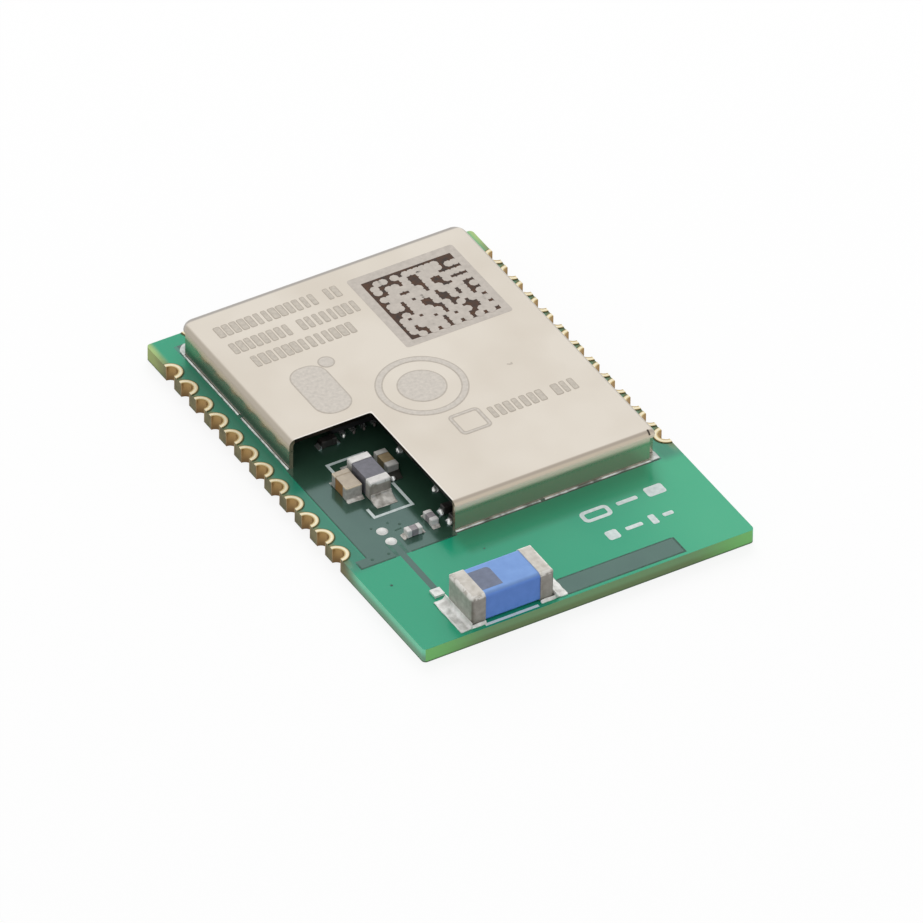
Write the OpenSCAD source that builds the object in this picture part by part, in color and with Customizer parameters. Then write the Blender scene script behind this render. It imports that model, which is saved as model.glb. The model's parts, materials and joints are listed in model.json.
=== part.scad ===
// Short-range radio module: a castellated circuit board with a chip antenna at its
// front edge and a folded shield can over the circuit behind it. The can is open at
// its front left corner, where the antenna's matching parts stand on the board.
// +X runs across the board, +Y from the antenna edge to the back, +Z up.

/* [Board] */
// Width of the board between its two side rows of pads
board_w = 12.75; // [11.6:0.05:15]
// Length of the board from the antenna edge to the back edge
board_l = 18.6; // [17:0.1:22]
// Thickness of the laminate
board_t = 0.55; // [0.4:0.05:1]
// Radius of the four corners of the board
board_corner_r = 0.15; // [0.05:0.05:0.3]
// Thickness of the copper laid into the faces of the board
copper_t = 0.03; // [0.02:0.005:0.05]

/* [Edge pads] */
// Spacing of the plated half holes along an edge
pad_pitch = 1.016; // [0.98:0.002:1.06]
// Half holes along each side edge
side_pads = 12; // [8:1:12]
// Half holes along the back edge
back_pads = 10; // [6:1:10]
// Distance from the back edge to the first half hole of a side
pad_start = 1.67; // [1.5:0.01:2]
// Radius of the open half hole
hole_r = 0.26; // [0.2:0.01:0.3]
// Thickness of the plating inside a half hole
plating_t = 0.03; // [0.02:0.005:0.05]
// Width of the plated ring on the board round a half hole
ring_w = 0.14; // [0.08:0.01:0.16]
// Length of the soldering land under the board, from the edge inwards
land_l = 0.9; // [0.7:0.05:1.2]

/* [Shield can] */
// Distance from a side edge of the board to the can
can_side_margin = 0.875; // [0.75:0.005:1]
// Distance from the back edge of the board to the can
can_back_margin = 0.68; // [0.65:0.01:1]
// Distance from the front edge of the board to the can
can_front_margin = 4.85; // [4.6:0.05:5]
// Height of the can above the board
can_h = 1.2; // [1.1:0.05:2]
// Thickness of the sheet that the can is folded from
sheet_t = 0.15; // [0.1:0.01:0.2]
// Outer radius of the folds along the top edges
fold_r = 0.25; // [0.22:0.01:0.4]
// Radius, seen from above, of the two rear corners of the can
back_corner_r = 0.46; // [0.42:0.01:0.7]
// Extra length cut off a wall beyond the fold at the open front corner
corner_relief = 0.05; // [0.02:0.01:0.15]
// Width of the open corner window, from the left face of the can
window_w = 3.15; // [2.9:0.05:3.3]
// Length of the open corner window, from the front face of the can
window_l = 5.57; // [5:0.01:5.8]
// Radius of the window's inner corner
window_r = 0.1; // [0.05:0.01:0.3]
// Leg of the solder seam along the foot of a wall
seam_leg = 0.08; // [0.07:0.01:0.1]
// Thickness of solder at the thin edges of a fillet
solder_lip = 0.025; // [0.015:0.005:0.04]
// Width of the break in the solder seam of each wall
seam_break = 0.14; // [0.08:0.02:0.5]
// Distance from the end of a side wall to the break in its seam
side_break_at = 3.2; // [2:0.1:5]
// Distance from the right end of the front and back walls to the break in their seams
front_break_at = 4.1; // [2:0.1:5]
// Height of the solder foot in an open corner
foot_h = 0.1; // [0.06:0.01:0.2]
// Reach of the solder foot outside an open corner
foot_out = 0.08; // [0.04:0.01:0.14]

/* [Chip antenna] */
// Length of the antenna across the board
antenna_l = 3.2; // [2.6:0.05:3.4]
// Width of the antenna along the board
antenna_w = 1.6; // [1.2:0.05:1.7]
// Height of the antenna
antenna_h = 1.2; // [0.8:0.05:1.5]
// Length of each plated end of the antenna
antenna_end_l = 0.55; // [0.35:0.01:0.7]
// Thickness of the plated ends over the ceramic
antenna_wrap_t = 0.03; // [0.02:0.005:0.05]
// Radius of the rounded edges of the plated ends
antenna_edge_r = 0.18; // [0.1:0.01:0.22]
// Distance from the left edge of the board to the left end of the antenna
antenna_inset_x = 1.955; // [1.7:0.005:2.6]
// Distance from the front edge of the board to the front of the antenna
antenna_inset_y = 0.25; // [0.15:0.01:0.4]
// Reach of the soldered land outside each end of the antenna
antenna_land_out = 0.45; // [0.3:0.01:0.55]
// Thickness of the solder on that land
antenna_land_t = 0.05; // [0.03:0.005:0.08]
// Leg of the solder fillet between the land and the antenna's end
antenna_fillet = 0.24; // [0.2:0.01:0.28]
// Reach of the solder in front of and behind the antenna's ends
antenna_land_over = 0.1; // [0.05:0.01:0.12]
// Width of the feed trace
feed_w = 0.24; // [0.15:0.01:0.3]
// Distance from the left end of the antenna to the middle of the feed trace, outwards
feed_out = 0.03; // [0:0.01:0.15]
// Side of the square soldered via at the front end of the feed trace
feed_pad = 0.38; // [0.3:0.02:0.5]
// Distance of the soldered via's middle from the middle of the feed trace, outwards
feed_pad_out = 0.06; // [0:0.01:0.1]
// Radius of the hollow in the soldered via
dimple_r = 0.15; // [0.1:0.01:0.2]
// Depth of the hollow in the soldered via
dimple_depth = 0.04; // [0.02:0.005:0.045]
// Gap between the soldered via and the antenna's left land
feed_gap = 0.19; // [0.08:0.01:0.3]
// Length of the copper strip that runs on from the right end of the antenna
tail_l = 5; // [2:0.1:6]
// Width of that copper strip
tail_w = 0.85; // [0.5:0.05:1]

/* [Ground copper] */
// Reach of the ground copper outside the sides and back of the can
ground_land = 0.12; // [0.11:0.005:0.2]
// Reach of the ground copper in front of the can
ground_over = 0.2; // [0.16:0.02:0.4]
// Width of the strip along the front of the ground copper
ground_rail_w = 0.45; // [0.3:0.05:0.6]
// Reach of that strip to the left of the ground copper
ground_rail_out = 0.43; // [0.1:0.01:0.45]
// Bare margin on each side of the feed trace
feed_margin = 0.12; // [0.08:0.01:0.2]
// Length of the feed trace behind the front edge of the ground copper
feed_lead = 0.65; // [0.2:0.05:0.7]

/* [Window parts] */
// Length of the inductor, which lies along the board
inductor_l = 1.6; // [1.2:0.05:1.8]
// Width of the inductor
inductor_w = 0.8; // [0.6:0.02:0.9]
// Height of the inductor
inductor_h = 0.75; // [0.5:0.05:0.9]
// Length of the capacitor on the left of the inductor
left_cap_l = 1; // [0.8:0.05:1.2]
// Width of the left capacitor
left_cap_w = 0.62; // [0.5:0.02:0.8]
// Height of the left capacitor
left_cap_h = 0.55; // [0.4:0.05:0.8]
// Length of the capacitor on the right of the inductor
right_cap_l = 0.95; // [0.8:0.05:1.2]
// Width of the right capacitor
right_cap_w = 0.45; // [0.35:0.01:0.48]
// Height of the right capacitor
right_cap_h = 0.45; // [0.4:0.05:0.8]
// Length of the smallest chip parts
small_l = 0.6; // [0.5:0.02:0.66]
// Width of the smallest chip parts
small_w = 0.3; // [0.24:0.01:0.34]
// Height of the smallest chip parts
small_h = 0.3; // [0.24:0.01:0.5]
// Length of the plated ends of the inductor
inductor_end_l = 0.32; // [0.25:0.01:0.5]
// Length of the plated ends of a capacitor
capacitor_end_l = 0.24; // [0.15:0.01:0.3]
// Length of the plated ends of the smallest parts
small_end_l = 0.17; // [0.1:0.01:0.2]
// Thickness of the plated ends over the ceramic of a chip part
wrap_t = 0.02; // [0.01:0.005:0.03]
// Radius of the rounded edges of the plated ends of a chip part
part_edge_r = 0.05; // [0.035:0.005:0.07]
// Distance from the window's right side to the middle of the inductor
inductor_in_x = 1.25; // [1.2:0.01:1.35]
// Distance from the window's back to the middle of the inductor
inductor_in_y = 2.02; // [1.9:0.01:2.2]
// Clear gap between the inductor and the capacitor on its left
left_gap = 0.09; // [0.05:0.01:0.2]
// Distance that the left capacitor stands behind the middle of the inductor
left_ahead = 0.08; // [0:0.01:0.3]
// Clear gap between the inductor and the capacitor on its right
right_gap = 0.34; // [0.25:0.01:0.36]
// Distance that the right capacitor stands behind the middle of the inductor
right_ahead = 0.51; // [0.3:0.01:0.7]
// Leg of the solder fillets at the inductor's ends
inductor_fillet = 0.45; // [0.25:0.01:0.48]
// Leg of the solder fillets at the left capacitor's ends
left_cap_fillet = 0.14; // [0.1:0.01:0.3]
// Leg of the solder fillets at the right capacitor's ends
right_cap_fillet = 0.3; // [0.15:0.01:0.35]
// Leg of the solder fillets at the ends of the smallest parts
small_fillet = 0.12; // [0.08:0.01:0.16]
// Distance from the front of the can to the middle of the crosswise small part
cross_part_y = 0.58; // [0.5:0.01:0.7]
// Distance from the window's right side to the middle of the crosswise small part
cross_part_x = 1.27; // [1.15:0.01:1.4]
// Distance from the front of the can to the middle of the lengthwise small part
long_part_y = 0.85; // [0.8:0.01:0.95]
// Distance from the window's right side to the middle of the lengthwise small part
long_part_x = 0.43; // [0.35:0.01:0.5]
// Radius of the soldered test pads
test_pad_r = 0.2; // [0.15:0.01:0.24]
// Height of the solder on a test pad
test_pad_h = 0.09; // [0.05:0.01:0.14]
// Distance from the window's right side to the test pads
test_pad_x = 2.1; // [2:0.01:2.2]
// Distance from the front of the can to the first test pad
test_pad_y = 0.6; // [0.5:0.01:0.7]
// Spacing of the test pads
test_pad_pitch = 0.6; // [0.5:0.01:0.7]

/* [Parts under the can] */
// Side of the square radio chip
radio_w = 4; // [3.6:0.1:4.4]
// Height of the radio chip's package
radio_h = 0.7; // [0.5:0.05:0.8]
// Spacing of the joints along a side of the radio chip
radio_pitch = 0.4; // [0.3:0.01:0.42]
// Joints along each side of the radio chip
radio_joints = 9; // [6:1:9]
// Distance from the window's right side to the left side of the radio chip, outwards
radio_out_x = 1.05; // [0.9:0.01:1.1]
// Distance from the window's back to the front of the radio chip
radio_in_y = 0.86; // [0.84:0.01:1.1]
// Length of one joint of the radio chip
joint_l = 0.4; // [0.25:0.01:0.5]
// Width of one joint of the radio chip
joint_w = 0.2; // [0.12:0.01:0.25]
// Reach of the radio chip's joints outside its package
joint_reach = 0.14; // [0.05:0.01:0.18]
// Side of the square pad under the middle of the radio chip
radio_pad = 2; // [1.2:0.1:2.4]
// Side of the square joint under each corner of a package
corner_joint = 0.5; // [0.3:0.05:0.6]
// Height of the solder under a chip package
standoff = 0.05; // [0.03:0.01:0.08]
// Width of the clock crystal across the board
crystal_w = 2; // [1.6:0.1:2.2]
// Length of the clock crystal along the board
crystal_l = 1.6; // [1.2:0.1:2]
// Height of the clock crystal with its lid
crystal_h = 0.5; // [0.4:0.05:0.8]
// Height of the crystal's metal lid
crystal_lid_h = 0.18; // [0.1:0.01:0.25]
// Ledge of the crystal's ceramic base round its lid
crystal_ledge = 0.1; // [0.05:0.01:0.2]
// Width of the memory chip across the board
memory_w = 2; // [1.5:0.1:2.2]
// Length of the memory chip along the board
memory_l = 3; // [2:0.1:3.2]
// Height of the memory chip's package
memory_h = 0.55; // [0.4:0.05:0.8]
// Length of the band filter across the board
filter_l = 2; // [1.6:0.1:2.2]
// Width of the band filter along the board
filter_w = 1.25; // [0.8:0.05:1.4]
// Height of the band filter
filter_h = 0.7; // [0.5:0.05:0.8]
// Length of the plated ends of the band filter
filter_end_l = 0.3; // [0.2:0.01:0.4]
// Length of the supply inductors across the board
choke_l = 2; // [1.6:0.1:2.2]
// Width of the supply inductors along the board
choke_w = 1.2; // [0.8:0.05:1.4]
// Height of the supply inductors
choke_h = 0.8; // [0.5:0.05:0.85]
// Length of the plated ends of the supply inductors
choke_end_l = 0.4; // [0.3:0.01:0.6]
// Spacing of the parts along the right wall of the can
column_gap = 0.4; // [0.25:0.05:0.5]
// Distance from the can's right wall to the parts along it
column_margin = 0.35; // [0.25:0.05:0.45]
// Bypass capacitors along the right side of the radio chip
bypass_count = 3; // [2:1:3]
// Length of a bypass capacitor
bypass_l = 1; // [0.8:0.05:1.05]
// Width of a bypass capacitor
bypass_w = 0.5; // [0.4:0.02:0.56]
// Height of a bypass capacitor
bypass_h = 0.5; // [0.4:0.05:0.8]
// Spacing of the bypass capacitors
bypass_pitch = 1.35; // [1.32:0.02:1.5]
// Distance from a chip to its bypass capacitors
bypass_gap = 0.25; // [0.2:0.01:0.35]
// Distance from the window's right side to the band filter
filter_in_x = 2.6; // [2.4:0.1:3.4]
// Distance from the front of the can to the band filter
filter_in_y = 1.4; // [1:0.1:2]
// Distance from the window's right side to the pair of small parts just inside it
pair_in = 0.12; // [0.08:0.01:0.2]
// Distance from the front of the can to the first part of the pair
pair_y = 0.5; // [0.45:0.01:0.6]
// Spacing of the pair
pair_pitch = 0.56; // [0.5:0.01:0.7]
// Distance from the window's right side to the single small parts further in
single_in = 0.6; // [0.4:0.01:0.7]
// Distance from the front of the can to the front single part
front_single_y = 2.2; // [1.9:0.05:2.5]
// Distance from the front of the can to the rear single part
rear_single_y = 4.6; // [4:0.05:5]
// Distance from the window's right side to the small part behind the window, outwards
behind_part_x = 1.38; // [1.2:0.01:1.5]
// Distance from the window's back to that part
behind_part_y = 0.52; // [0.4:0.01:0.54]

/* [Hidden] */
$fn = 64;

// Overlap that lets a cut run clear of a face
cut = 1;

// Board edges
left_x = -board_w / 2;
right_x = board_w / 2;
front_y = -board_l / 2;
back_y = board_l / 2;

// Outer faces of the can and the two inner sides of its window
can_left = left_x + can_side_margin;
can_right = right_x - can_side_margin;
can_front = front_y + can_front_margin;
can_back = back_y - can_back_margin;
can_w = can_right - can_left;
can_l = can_back - can_front;
wall_setback = fold_r + corner_relief;
window_x = can_left + window_w;
window_y = can_front + window_l;

// Edge pads
ring_r = hole_r + plating_t + ring_w;
first_pad_y = back_y - pad_start;
first_back_x = -(back_pads - 1) * pad_pitch / 2;

// Antenna and its copper
antenna_x = left_x + antenna_inset_x + antenna_l / 2;
antenna_y = front_y + antenna_inset_y + antenna_w / 2;
antenna_left = antenna_x - antenna_l / 2;
antenna_right = antenna_x + antenna_l / 2;
land_w = antenna_w + 2 * antenna_land_over;
feed_x = antenna_left - feed_out;
feed_pad_y = antenna_y + land_w / 2 + feed_gap + feed_pad / 2;
ground_front = can_front - ground_over;
feed_end_y = ground_front + feed_lead;

// Sizes of the parts as length, width and height
inductor_size = [inductor_l, inductor_w, inductor_h];
left_cap_size = [left_cap_l, left_cap_w, left_cap_h];
right_cap_size = [right_cap_l, right_cap_w, right_cap_h];
small_size = [small_l, small_w, small_h];
bypass_size = [bypass_l, bypass_w, bypass_h];
filter_size = [filter_l, filter_w, filter_h];
choke_size = [choke_l, choke_w, choke_h];
antenna_size = [antenna_l, antenna_w, antenna_h];

// Places of the parts in the window
inductor_place = [window_x - inductor_in_x, window_y - inductor_in_y];
left_place = inductor_place
  + [-inductor_w / 2 - left_gap - left_cap_w / 2, left_ahead];
right_place = inductor_place
  + [inductor_w / 2 + right_gap + right_cap_w / 2, right_ahead];
cross_place = [window_x - cross_part_x, can_front + cross_part_y];
long_place = [window_x - long_part_x, can_front + long_part_y];

// Places of the parts under the can
radio_x = window_x - radio_out_x + radio_w / 2;
radio_y = window_y + radio_in_y + radio_w / 2;
column_x = can_right - sheet_t - column_margin - crystal_w / 2;
crystal_y = can_back - sheet_t - column_margin - crystal_l / 2;
memory_y = crystal_y - crystal_l / 2 - column_gap - memory_l / 2;
choke_y = memory_y - memory_l / 2 - column_gap - choke_w / 2;
chokes = [choke_y, choke_y - choke_w - column_gap];
bypass_x = radio_x + radio_w / 2 + bypass_gap + bypass_w / 2;
filter_place = [window_x + filter_in_x, can_front + filter_in_y];
pair_x = window_x + pair_in + small_l / 2;
single_x = window_x + single_in + small_l / 2;
edge_places = [
  [pair_x, can_front + pair_y],
  [pair_x, can_front + pair_y + pair_pitch],
  [single_x, can_front + front_single_y],
  [single_x, can_front + rear_single_y],
  [window_x - behind_part_x, window_y + behind_part_y]
];

// Rectangle with rounded corners, centred
module rounded_rect(w, l, r) {
  square([w - 2 * r, l], center = true);
  square([w, l - 2 * r], center = true);
  for (x = [-1, 1], y = [-1, 1])
    translate([x * (w / 2 - r), y * (l / 2 - r)]) circle(r);
}

// Block standing on its underside, with its twelve edges rounded
module soft_block(size, r) {
  translate([0, 0, size.z / 2])
    intersection() {
      linear_extrude(size.z, center = true) rounded_rect(size.x, size.y, r);
      rotate([90, 0, 0]) linear_extrude(size.y, center = true) rounded_rect(size.x, size.z, r);
      rotate([90, 0, 90]) linear_extrude(size.x, center = true) rounded_rect(size.y, size.z, r);
    }
}

// Ceramic core of a chip part that lies along X
module part_core(size, wrap) {
  translate([-size.x / 2 + wrap, -size.y / 2 + wrap, wrap])
    cube([size.x - 2 * wrap, size.y - 2 * wrap, size.z - 2 * wrap]);
}

// Plated ends of a chip part that lies along X
module part_ends(size, end_l, wrap, edge_r) {
  difference() {
    soft_block(size, edge_r);
    part_core(size, wrap);
    translate([-size.x / 2 + end_l, -size.y / 2 - cut, -cut])
      cube([size.x - 2 * end_l, size.y + 2 * cut, size.z + 2 * cut]);
  }
}

// Concave solder fillet that climbs a wall at x = 0 and runs out along +X
module fillet(leg, width) {
  rotate([90, 0, 0])
    linear_extrude(width, center = true)
      difference() {
        square(leg);
        translate([leg, leg]) circle(leg - solder_lip);
      }
}

// Fillets at both ends of a chip part that lies along X
module end_fillets(size, leg) {
  for (turn = [0, 180])
    rotate(turn)
      translate([size.x / 2, 0, 0]) fillet(leg, size.y);
}

// Low dome of solder on a round pad
module solder_dome(r, h) {
  ball_r = (r * r + h * h) / (2 * h);
  intersection() {
    translate([0, 0, h - ball_r]) sphere(ball_r);
    cylinder(h, r = r);
  }
}

// Plan of one soldering land under the board, from the edge at the origin inwards
module land_plan() {
  circle(ring_r);
  translate([0, -ring_r]) square([land_l - ring_r, 2 * ring_r]);
  translate([land_l - ring_r, 0]) circle(ring_r);
}

// Plated half hole with its ring above and its land below
module edge_pad() {
  difference() {
    union() {
      cylinder(board_t, r = hole_r + plating_t);
      translate([0, 0, board_t]) cylinder(copper_t, r = ring_r);
      linear_extrude(copper_t) land_plan();
    }
    translate([0, 0, -cut]) cylinder(board_t + 3 * cut, r = hole_r);
    translate([-2 * ring_r, -2 * ring_r, -cut]) cube([2 * ring_r, 4 * ring_r, board_t + 3 * cut]);
  }
}

// Repeats its child along the left, right or back edge
module along_left() {
  for (i = [0 : side_pads - 1])
    translate([left_x, first_pad_y - i * pad_pitch, 0]) children();
}
module along_right() {
  mirror([1, 0, 0]) along_left() children();
}
module along_back() {
  for (i = [0 : back_pads - 1])
    translate([first_back_x + i * pad_pitch, back_y, 0]) rotate(-90) children();
}

// Room in the board for one edge pad
module edge_room() {
  translate([0, 0, -cut]) {
    cylinder(board_t + 2 * cut, r = hole_r + plating_t);
    linear_extrude(cut + copper_t) land_plan();
  }
}

// Plan of the ground copper, open round the feed trace
module ground_plan() {
  difference() {
    union() {
      translate([can_left - ground_land, can_front - ground_land])
        square([can_w + 2 * ground_land, can_l + 2 * ground_land]);
      translate([can_left - ground_land, ground_front])
        square([window_w + ground_land, ground_rail_w]);
      translate([can_left - ground_land - ground_rail_out, ground_front])
        square([ground_rail_out, ground_rail_w]);
    }
    translate([feed_x - feed_w / 2 - feed_margin, ground_front - cut])
      square([feed_w + 2 * feed_margin, feed_lead + feed_margin + cut]);
  }
}

// Plan of the feed trace
module feed_plan() {
  translate([feed_x - feed_w / 2, feed_pad_y]) square([feed_w, feed_end_y - feed_pad_y]);
}

// Plan of the copper strip to the right of the antenna
module tail_plan() {
  translate([antenna_right, antenna_y - land_w / 2]) square([tail_l, tail_w]);
}

// Top copper, laid flush into the board
module laid_in(depth) {
  translate([0, 0, board_t - copper_t]) linear_extrude(depth) children();
}

module circuit_board() {
  color("#3f9573")
    difference() {
      linear_extrude(board_t) rounded_rect(board_w, board_l, board_corner_r);
      along_left() edge_room();
      along_right() edge_room();
      along_back() edge_room();
      laid_in(copper_t + cut) ground_plan();
      laid_in(copper_t + cut) feed_plan();
      laid_in(copper_t + cut) tail_plan();
    }
}

module left_edge_pads() {
  color("#e0cd9e") along_left() edge_pad();
}

module right_edge_pads() {
  color("#e0cd9e") along_right() edge_pad();
}

module back_edge_pads() {
  color("#e0cd9e") along_back() edge_pad();
}

module ground_copper() {
  color("#4f706a") laid_in(copper_t) ground_plan();
}

module feed_trace() {
  color("#517367") laid_in(copper_t) feed_plan();
}

module antenna_tail() {
  color("#627e7a") laid_in(copper_t) tail_plan();
}

// Outer or inner section of the can: a top with both side edges folded down
module fold_section(w, h, r) {
  translate([-w / 2 + r, 0]) square([w - 2 * r, h]);
  translate([-w / 2, 0]) square([w, h - r]);
  for (x = [-1, 1])
    translate([x * (w / 2 - r), h - r]) circle(r);
}

// Sheet folded down at both sides of a top of width w, of the given length along Y
module folded_strip(w, length) {
  rotate([90, 0, 0])
    linear_extrude(length, center = true)
      difference() {
        fold_section(w, can_h, fold_r);
        fold_section(w - 2 * sheet_t, can_h - sheet_t, fold_r - sheet_t);
        translate([-w, -cut]) square([2 * w, cut]);
      }
}

// Corner window, cut through the top and both walls
module can_window() {
  translate([can_left - cut, can_front - cut, 0])
    linear_extrude(board_t + can_h + cut) {
      square([window_w + cut - window_r, window_l + cut]);
      square([window_w + cut, window_l + cut - window_r]);
      translate([window_w + cut - window_r, window_l + cut - window_r]) circle(window_r);
    }
}

// Rounded front corner of the can's top, between two folds
module fold_corner() {
  translate([0, 0, can_h - fold_r])
    intersection() {
      difference() {
        sphere(fold_r);
        sphere(fold_r - sheet_t);
      }
      cube(2 * fold_r);
    }
}

// Slit that parts the two walls below the front corner of the can
module corner_slit() {
  translate([-corner_relief, -corner_relief, -cut])
    cube([wall_setback + cut, wall_setback + cut, can_h - fold_r + cut]);
}

// Half section of a round top of radius r whose edge is folded down by a bend radius
module corner_section(r, h, bend) {
  translate([0, can_h - fold_r]) square([r - bend, h - can_h + fold_r]);
  translate([r - bend, can_h - fold_r])
    intersection() {
      circle(bend);
      square(2 * bend);
    }
}

// Rear corner of the can: the top and its fold, turned through a quarter circle
module rear_corner() {
  intersection() {
    rotate_extrude()
      difference() {
        corner_section(back_corner_r, can_h, fold_r);
        corner_section(back_corner_r - sheet_t, can_h - sheet_t, fold_r - sheet_t);
      }
    cube(2 * can_h);
  }
}

// Room for a rear corner, open below its fold
module corner_room() {
  translate([0, 0, -cut])
    cube([back_corner_r + cut, back_corner_r + cut, can_h + 2 * cut]);
}

// Places its child at the closed front corner of the can, where two folds start
module at_front_corner() {
  translate([can_right - fold_r, can_front + fold_r, board_t]) rotate(-90) children();
}

// Repeats its child at the centres of the two rear corners of the can
module at_rear_corners() {
  translate([can_right - back_corner_r, can_back - back_corner_r, board_t]) children();
  translate([can_left + back_corner_r, can_back - back_corner_r, board_t]) rotate(90) children();
}

module shield_can() {
  color("#d1c6b9")
    union() {
      difference() {
        union() {
          translate([(can_left + can_right) / 2, (can_front + can_back) / 2, board_t]) {
            folded_strip(can_w, can_l - 2 * fold_r);
            rotate(90) folded_strip(can_l, can_w - 2 * fold_r);
          }
          at_front_corner() fold_corner();
        }
        at_front_corner() corner_slit();
        at_rear_corners() corner_room();
        can_window();
      }
      at_rear_corners() rear_corner();
    }
}

// Solder seam along X on the floor outside a wall that faces -Y, from x0 to x1
module seam(x0, x1) {
  translate([(x0 + x1) / 2, 0, 0]) rotate(-90) fillet(seam_leg, x1 - x0);
}

// Seam of one wall in two runs with a break
module wall_seam(length, break_at) {
  seam(0, length - break_at - seam_break);
  seam(length - break_at, length);
}

// Square foot of solder in an open corner of the can, whose walls end at a setback
module corner_foot(setback) {
  translate([-setback, -foot_out, 0])
    cube([setback + foot_out, setback + foot_out, foot_h]);
}

module shield_solder() {
  color("#c9ccc9")
    translate([0, 0, board_t]) {
      translate([window_x, can_front, 0])
        wall_seam(can_right - wall_setback - window_x, front_break_at);
      translate([can_right - back_corner_r, can_back, 0])
        rotate(180) wall_seam(can_w - 2 * back_corner_r, front_break_at);
      translate([can_left, can_back - back_corner_r, 0])
        rotate(-90) wall_seam(can_back - back_corner_r - window_y, side_break_at);
      translate([can_right, can_front + wall_setback, 0])
        rotate(90) wall_seam(can_l - wall_setback - back_corner_r, side_break_at);
      translate([can_right, can_front, 0]) corner_foot(wall_setback);
      translate([can_right, can_back, 0]) rotate(90) corner_foot(back_corner_r);
      translate([can_left, can_back, 0]) rotate(180) corner_foot(back_corner_r);
    }
}

// Places its child at the antenna
module at_antenna() {
  translate([antenna_x, antenna_y, board_t]) children();
}

// Ceramic core of the antenna, inside its plated ends
module antenna_core() {
  translate([0, 0, antenna_wrap_t])
    soft_block(antenna_size - 2 * antenna_wrap_t * [1, 1, 1], antenna_edge_r - antenna_wrap_t);
}

module antenna_body() {
  color("#5f86cf") at_antenna() antenna_core();
}

module antenna_terminals() {
  color("#cac6c4")
    at_antenna()
      difference() {
        soft_block(antenna_size, antenna_edge_r);
        antenna_core();
        translate([-antenna_l / 2 + antenna_end_l, -antenna_w, -cut])
          cube([antenna_l - 2 * antenna_end_l, 2 * antenna_w, antenna_h + 2 * cut]);
      }
}

module antenna_solder() {
  color("#d3d3d0")
    at_antenna()
      for (turn = [0, 180])
        rotate(turn) {
          translate([antenna_l / 2, -land_w / 2, 0]) cube([antenna_land_out, land_w, antenna_land_t]);
          translate([antenna_l / 2, 0, 0]) fillet(antenna_fillet, land_w);
          for (side = [-1, 1])
            translate([(antenna_l - antenna_end_l) / 2, side * antenna_w / 2, 0])
              rotate(side * 90) fillet(antenna_land_over, antenna_end_l);
        }
}

// Chip part that lies along Y at a place on the board
module lengthwise(place) {
  translate([place.x, place.y, board_t]) rotate(90) children();
}

// Chip part that lies along X at a place on the board
module crosswise(place) {
  translate([place.x, place.y, board_t]) children();
}

module matching_inductor_body() {
  color("#77737f") lengthwise(inductor_place) part_core(inductor_size, wrap_t);
}

module matching_inductor_terminals() {
  color("#d6d5d2")
    lengthwise(inductor_place) part_ends(inductor_size, inductor_end_l, wrap_t, part_edge_r);
}

module left_capacitor_body() {
  color("#b9a894") lengthwise(left_place) part_core(left_cap_size, wrap_t);
}

module left_capacitor_terminals() {
  color("#cfc4b4")
    lengthwise(left_place) part_ends(left_cap_size, capacitor_end_l, wrap_t, part_edge_r);
}

module right_capacitor_body() {
  color("#8c7a62") lengthwise(right_place) part_core(right_cap_size, wrap_t);
}

module right_capacitor_terminals() {
  color("#c8c5be")
    lengthwise(right_place) part_ends(right_cap_size, capacitor_end_l, wrap_t, part_edge_r);
}

module tuning_part_bodies() {
  color("#6d6a6a") {
    crosswise(cross_place) part_core(small_size, wrap_t);
    lengthwise(long_place) part_core(small_size, wrap_t);
  }
}

module tuning_part_terminals() {
  color("#d6d5d2") {
    crosswise(cross_place) part_ends(small_size, small_end_l, wrap_t, part_edge_r);
    lengthwise(long_place) part_ends(small_size, small_end_l, wrap_t, part_edge_r);
  }
}

module window_solder() {
  color("#c9ccc9") {
    lengthwise(inductor_place) end_fillets(inductor_size, inductor_fillet);
    lengthwise(left_place) end_fillets(left_cap_size, left_cap_fillet);
    lengthwise(right_place) end_fillets(right_cap_size, right_cap_fillet);
    crosswise(cross_place) end_fillets(small_size, small_fillet);
    lengthwise(long_place) end_fillets(small_size, small_fillet);
  }
}

module test_pads() {
  color("#d3d6d4") {
    for (i = [0, 1])
      translate([window_x - test_pad_x, can_front + test_pad_y + i * test_pad_pitch, board_t])
        solder_dome(test_pad_r, test_pad_h);
    translate([feed_x - feed_pad_out, feed_pad_y, board_t])
      difference() {
        translate([-feed_pad / 2, -feed_pad / 2, 0]) cube([feed_pad, feed_pad, test_pad_h]);
        translate([0, 0, test_pad_h + dimple_r - dimple_depth]) sphere(dimple_r);
      }
  }
}

// Places its child at the radio chip
module at_radio() {
  translate([radio_x, radio_y, board_t]) children();
}

module radio_chip() {
  color("#2b2b2d")
    at_radio()
      translate([0, 0, standoff])
        linear_extrude(radio_h) rounded_rect(radio_w, radio_w, part_edge_r);
}

// Flat solder joint, centred
module joint(w, l) {
  translate([-w / 2, -l / 2, 0]) cube([w, l, standoff]);
}

module radio_chip_joints() {
  joint_x = radio_w / 2 + joint_reach - joint_l / 2;
  first_joint = -(radio_joints - 1) * radio_pitch / 2;
  color("#c9ccc9")
    at_radio() {
      for (side = [0 : 90 : 270], i = [0 : radio_joints - 1])
        rotate(side) translate([joint_x, first_joint + i * radio_pitch, 0]) joint(joint_l, joint_w);
      joint(radio_pad, radio_pad);
    }
}

// Four soldered corners under a package of the given plan size
module corner_joints(w, l) {
  for (x = [-1, 1], y = [-1, 1])
    translate([x * (w - corner_joint) / 2, y * (l - corner_joint) / 2, 0])
      joint(corner_joint, corner_joint);
}

module crystal_base() {
  color("#5c5247")
    translate([column_x, crystal_y, board_t + standoff])
      linear_extrude(crystal_h - crystal_lid_h) rounded_rect(crystal_w, crystal_l, part_edge_r);
}

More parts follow.
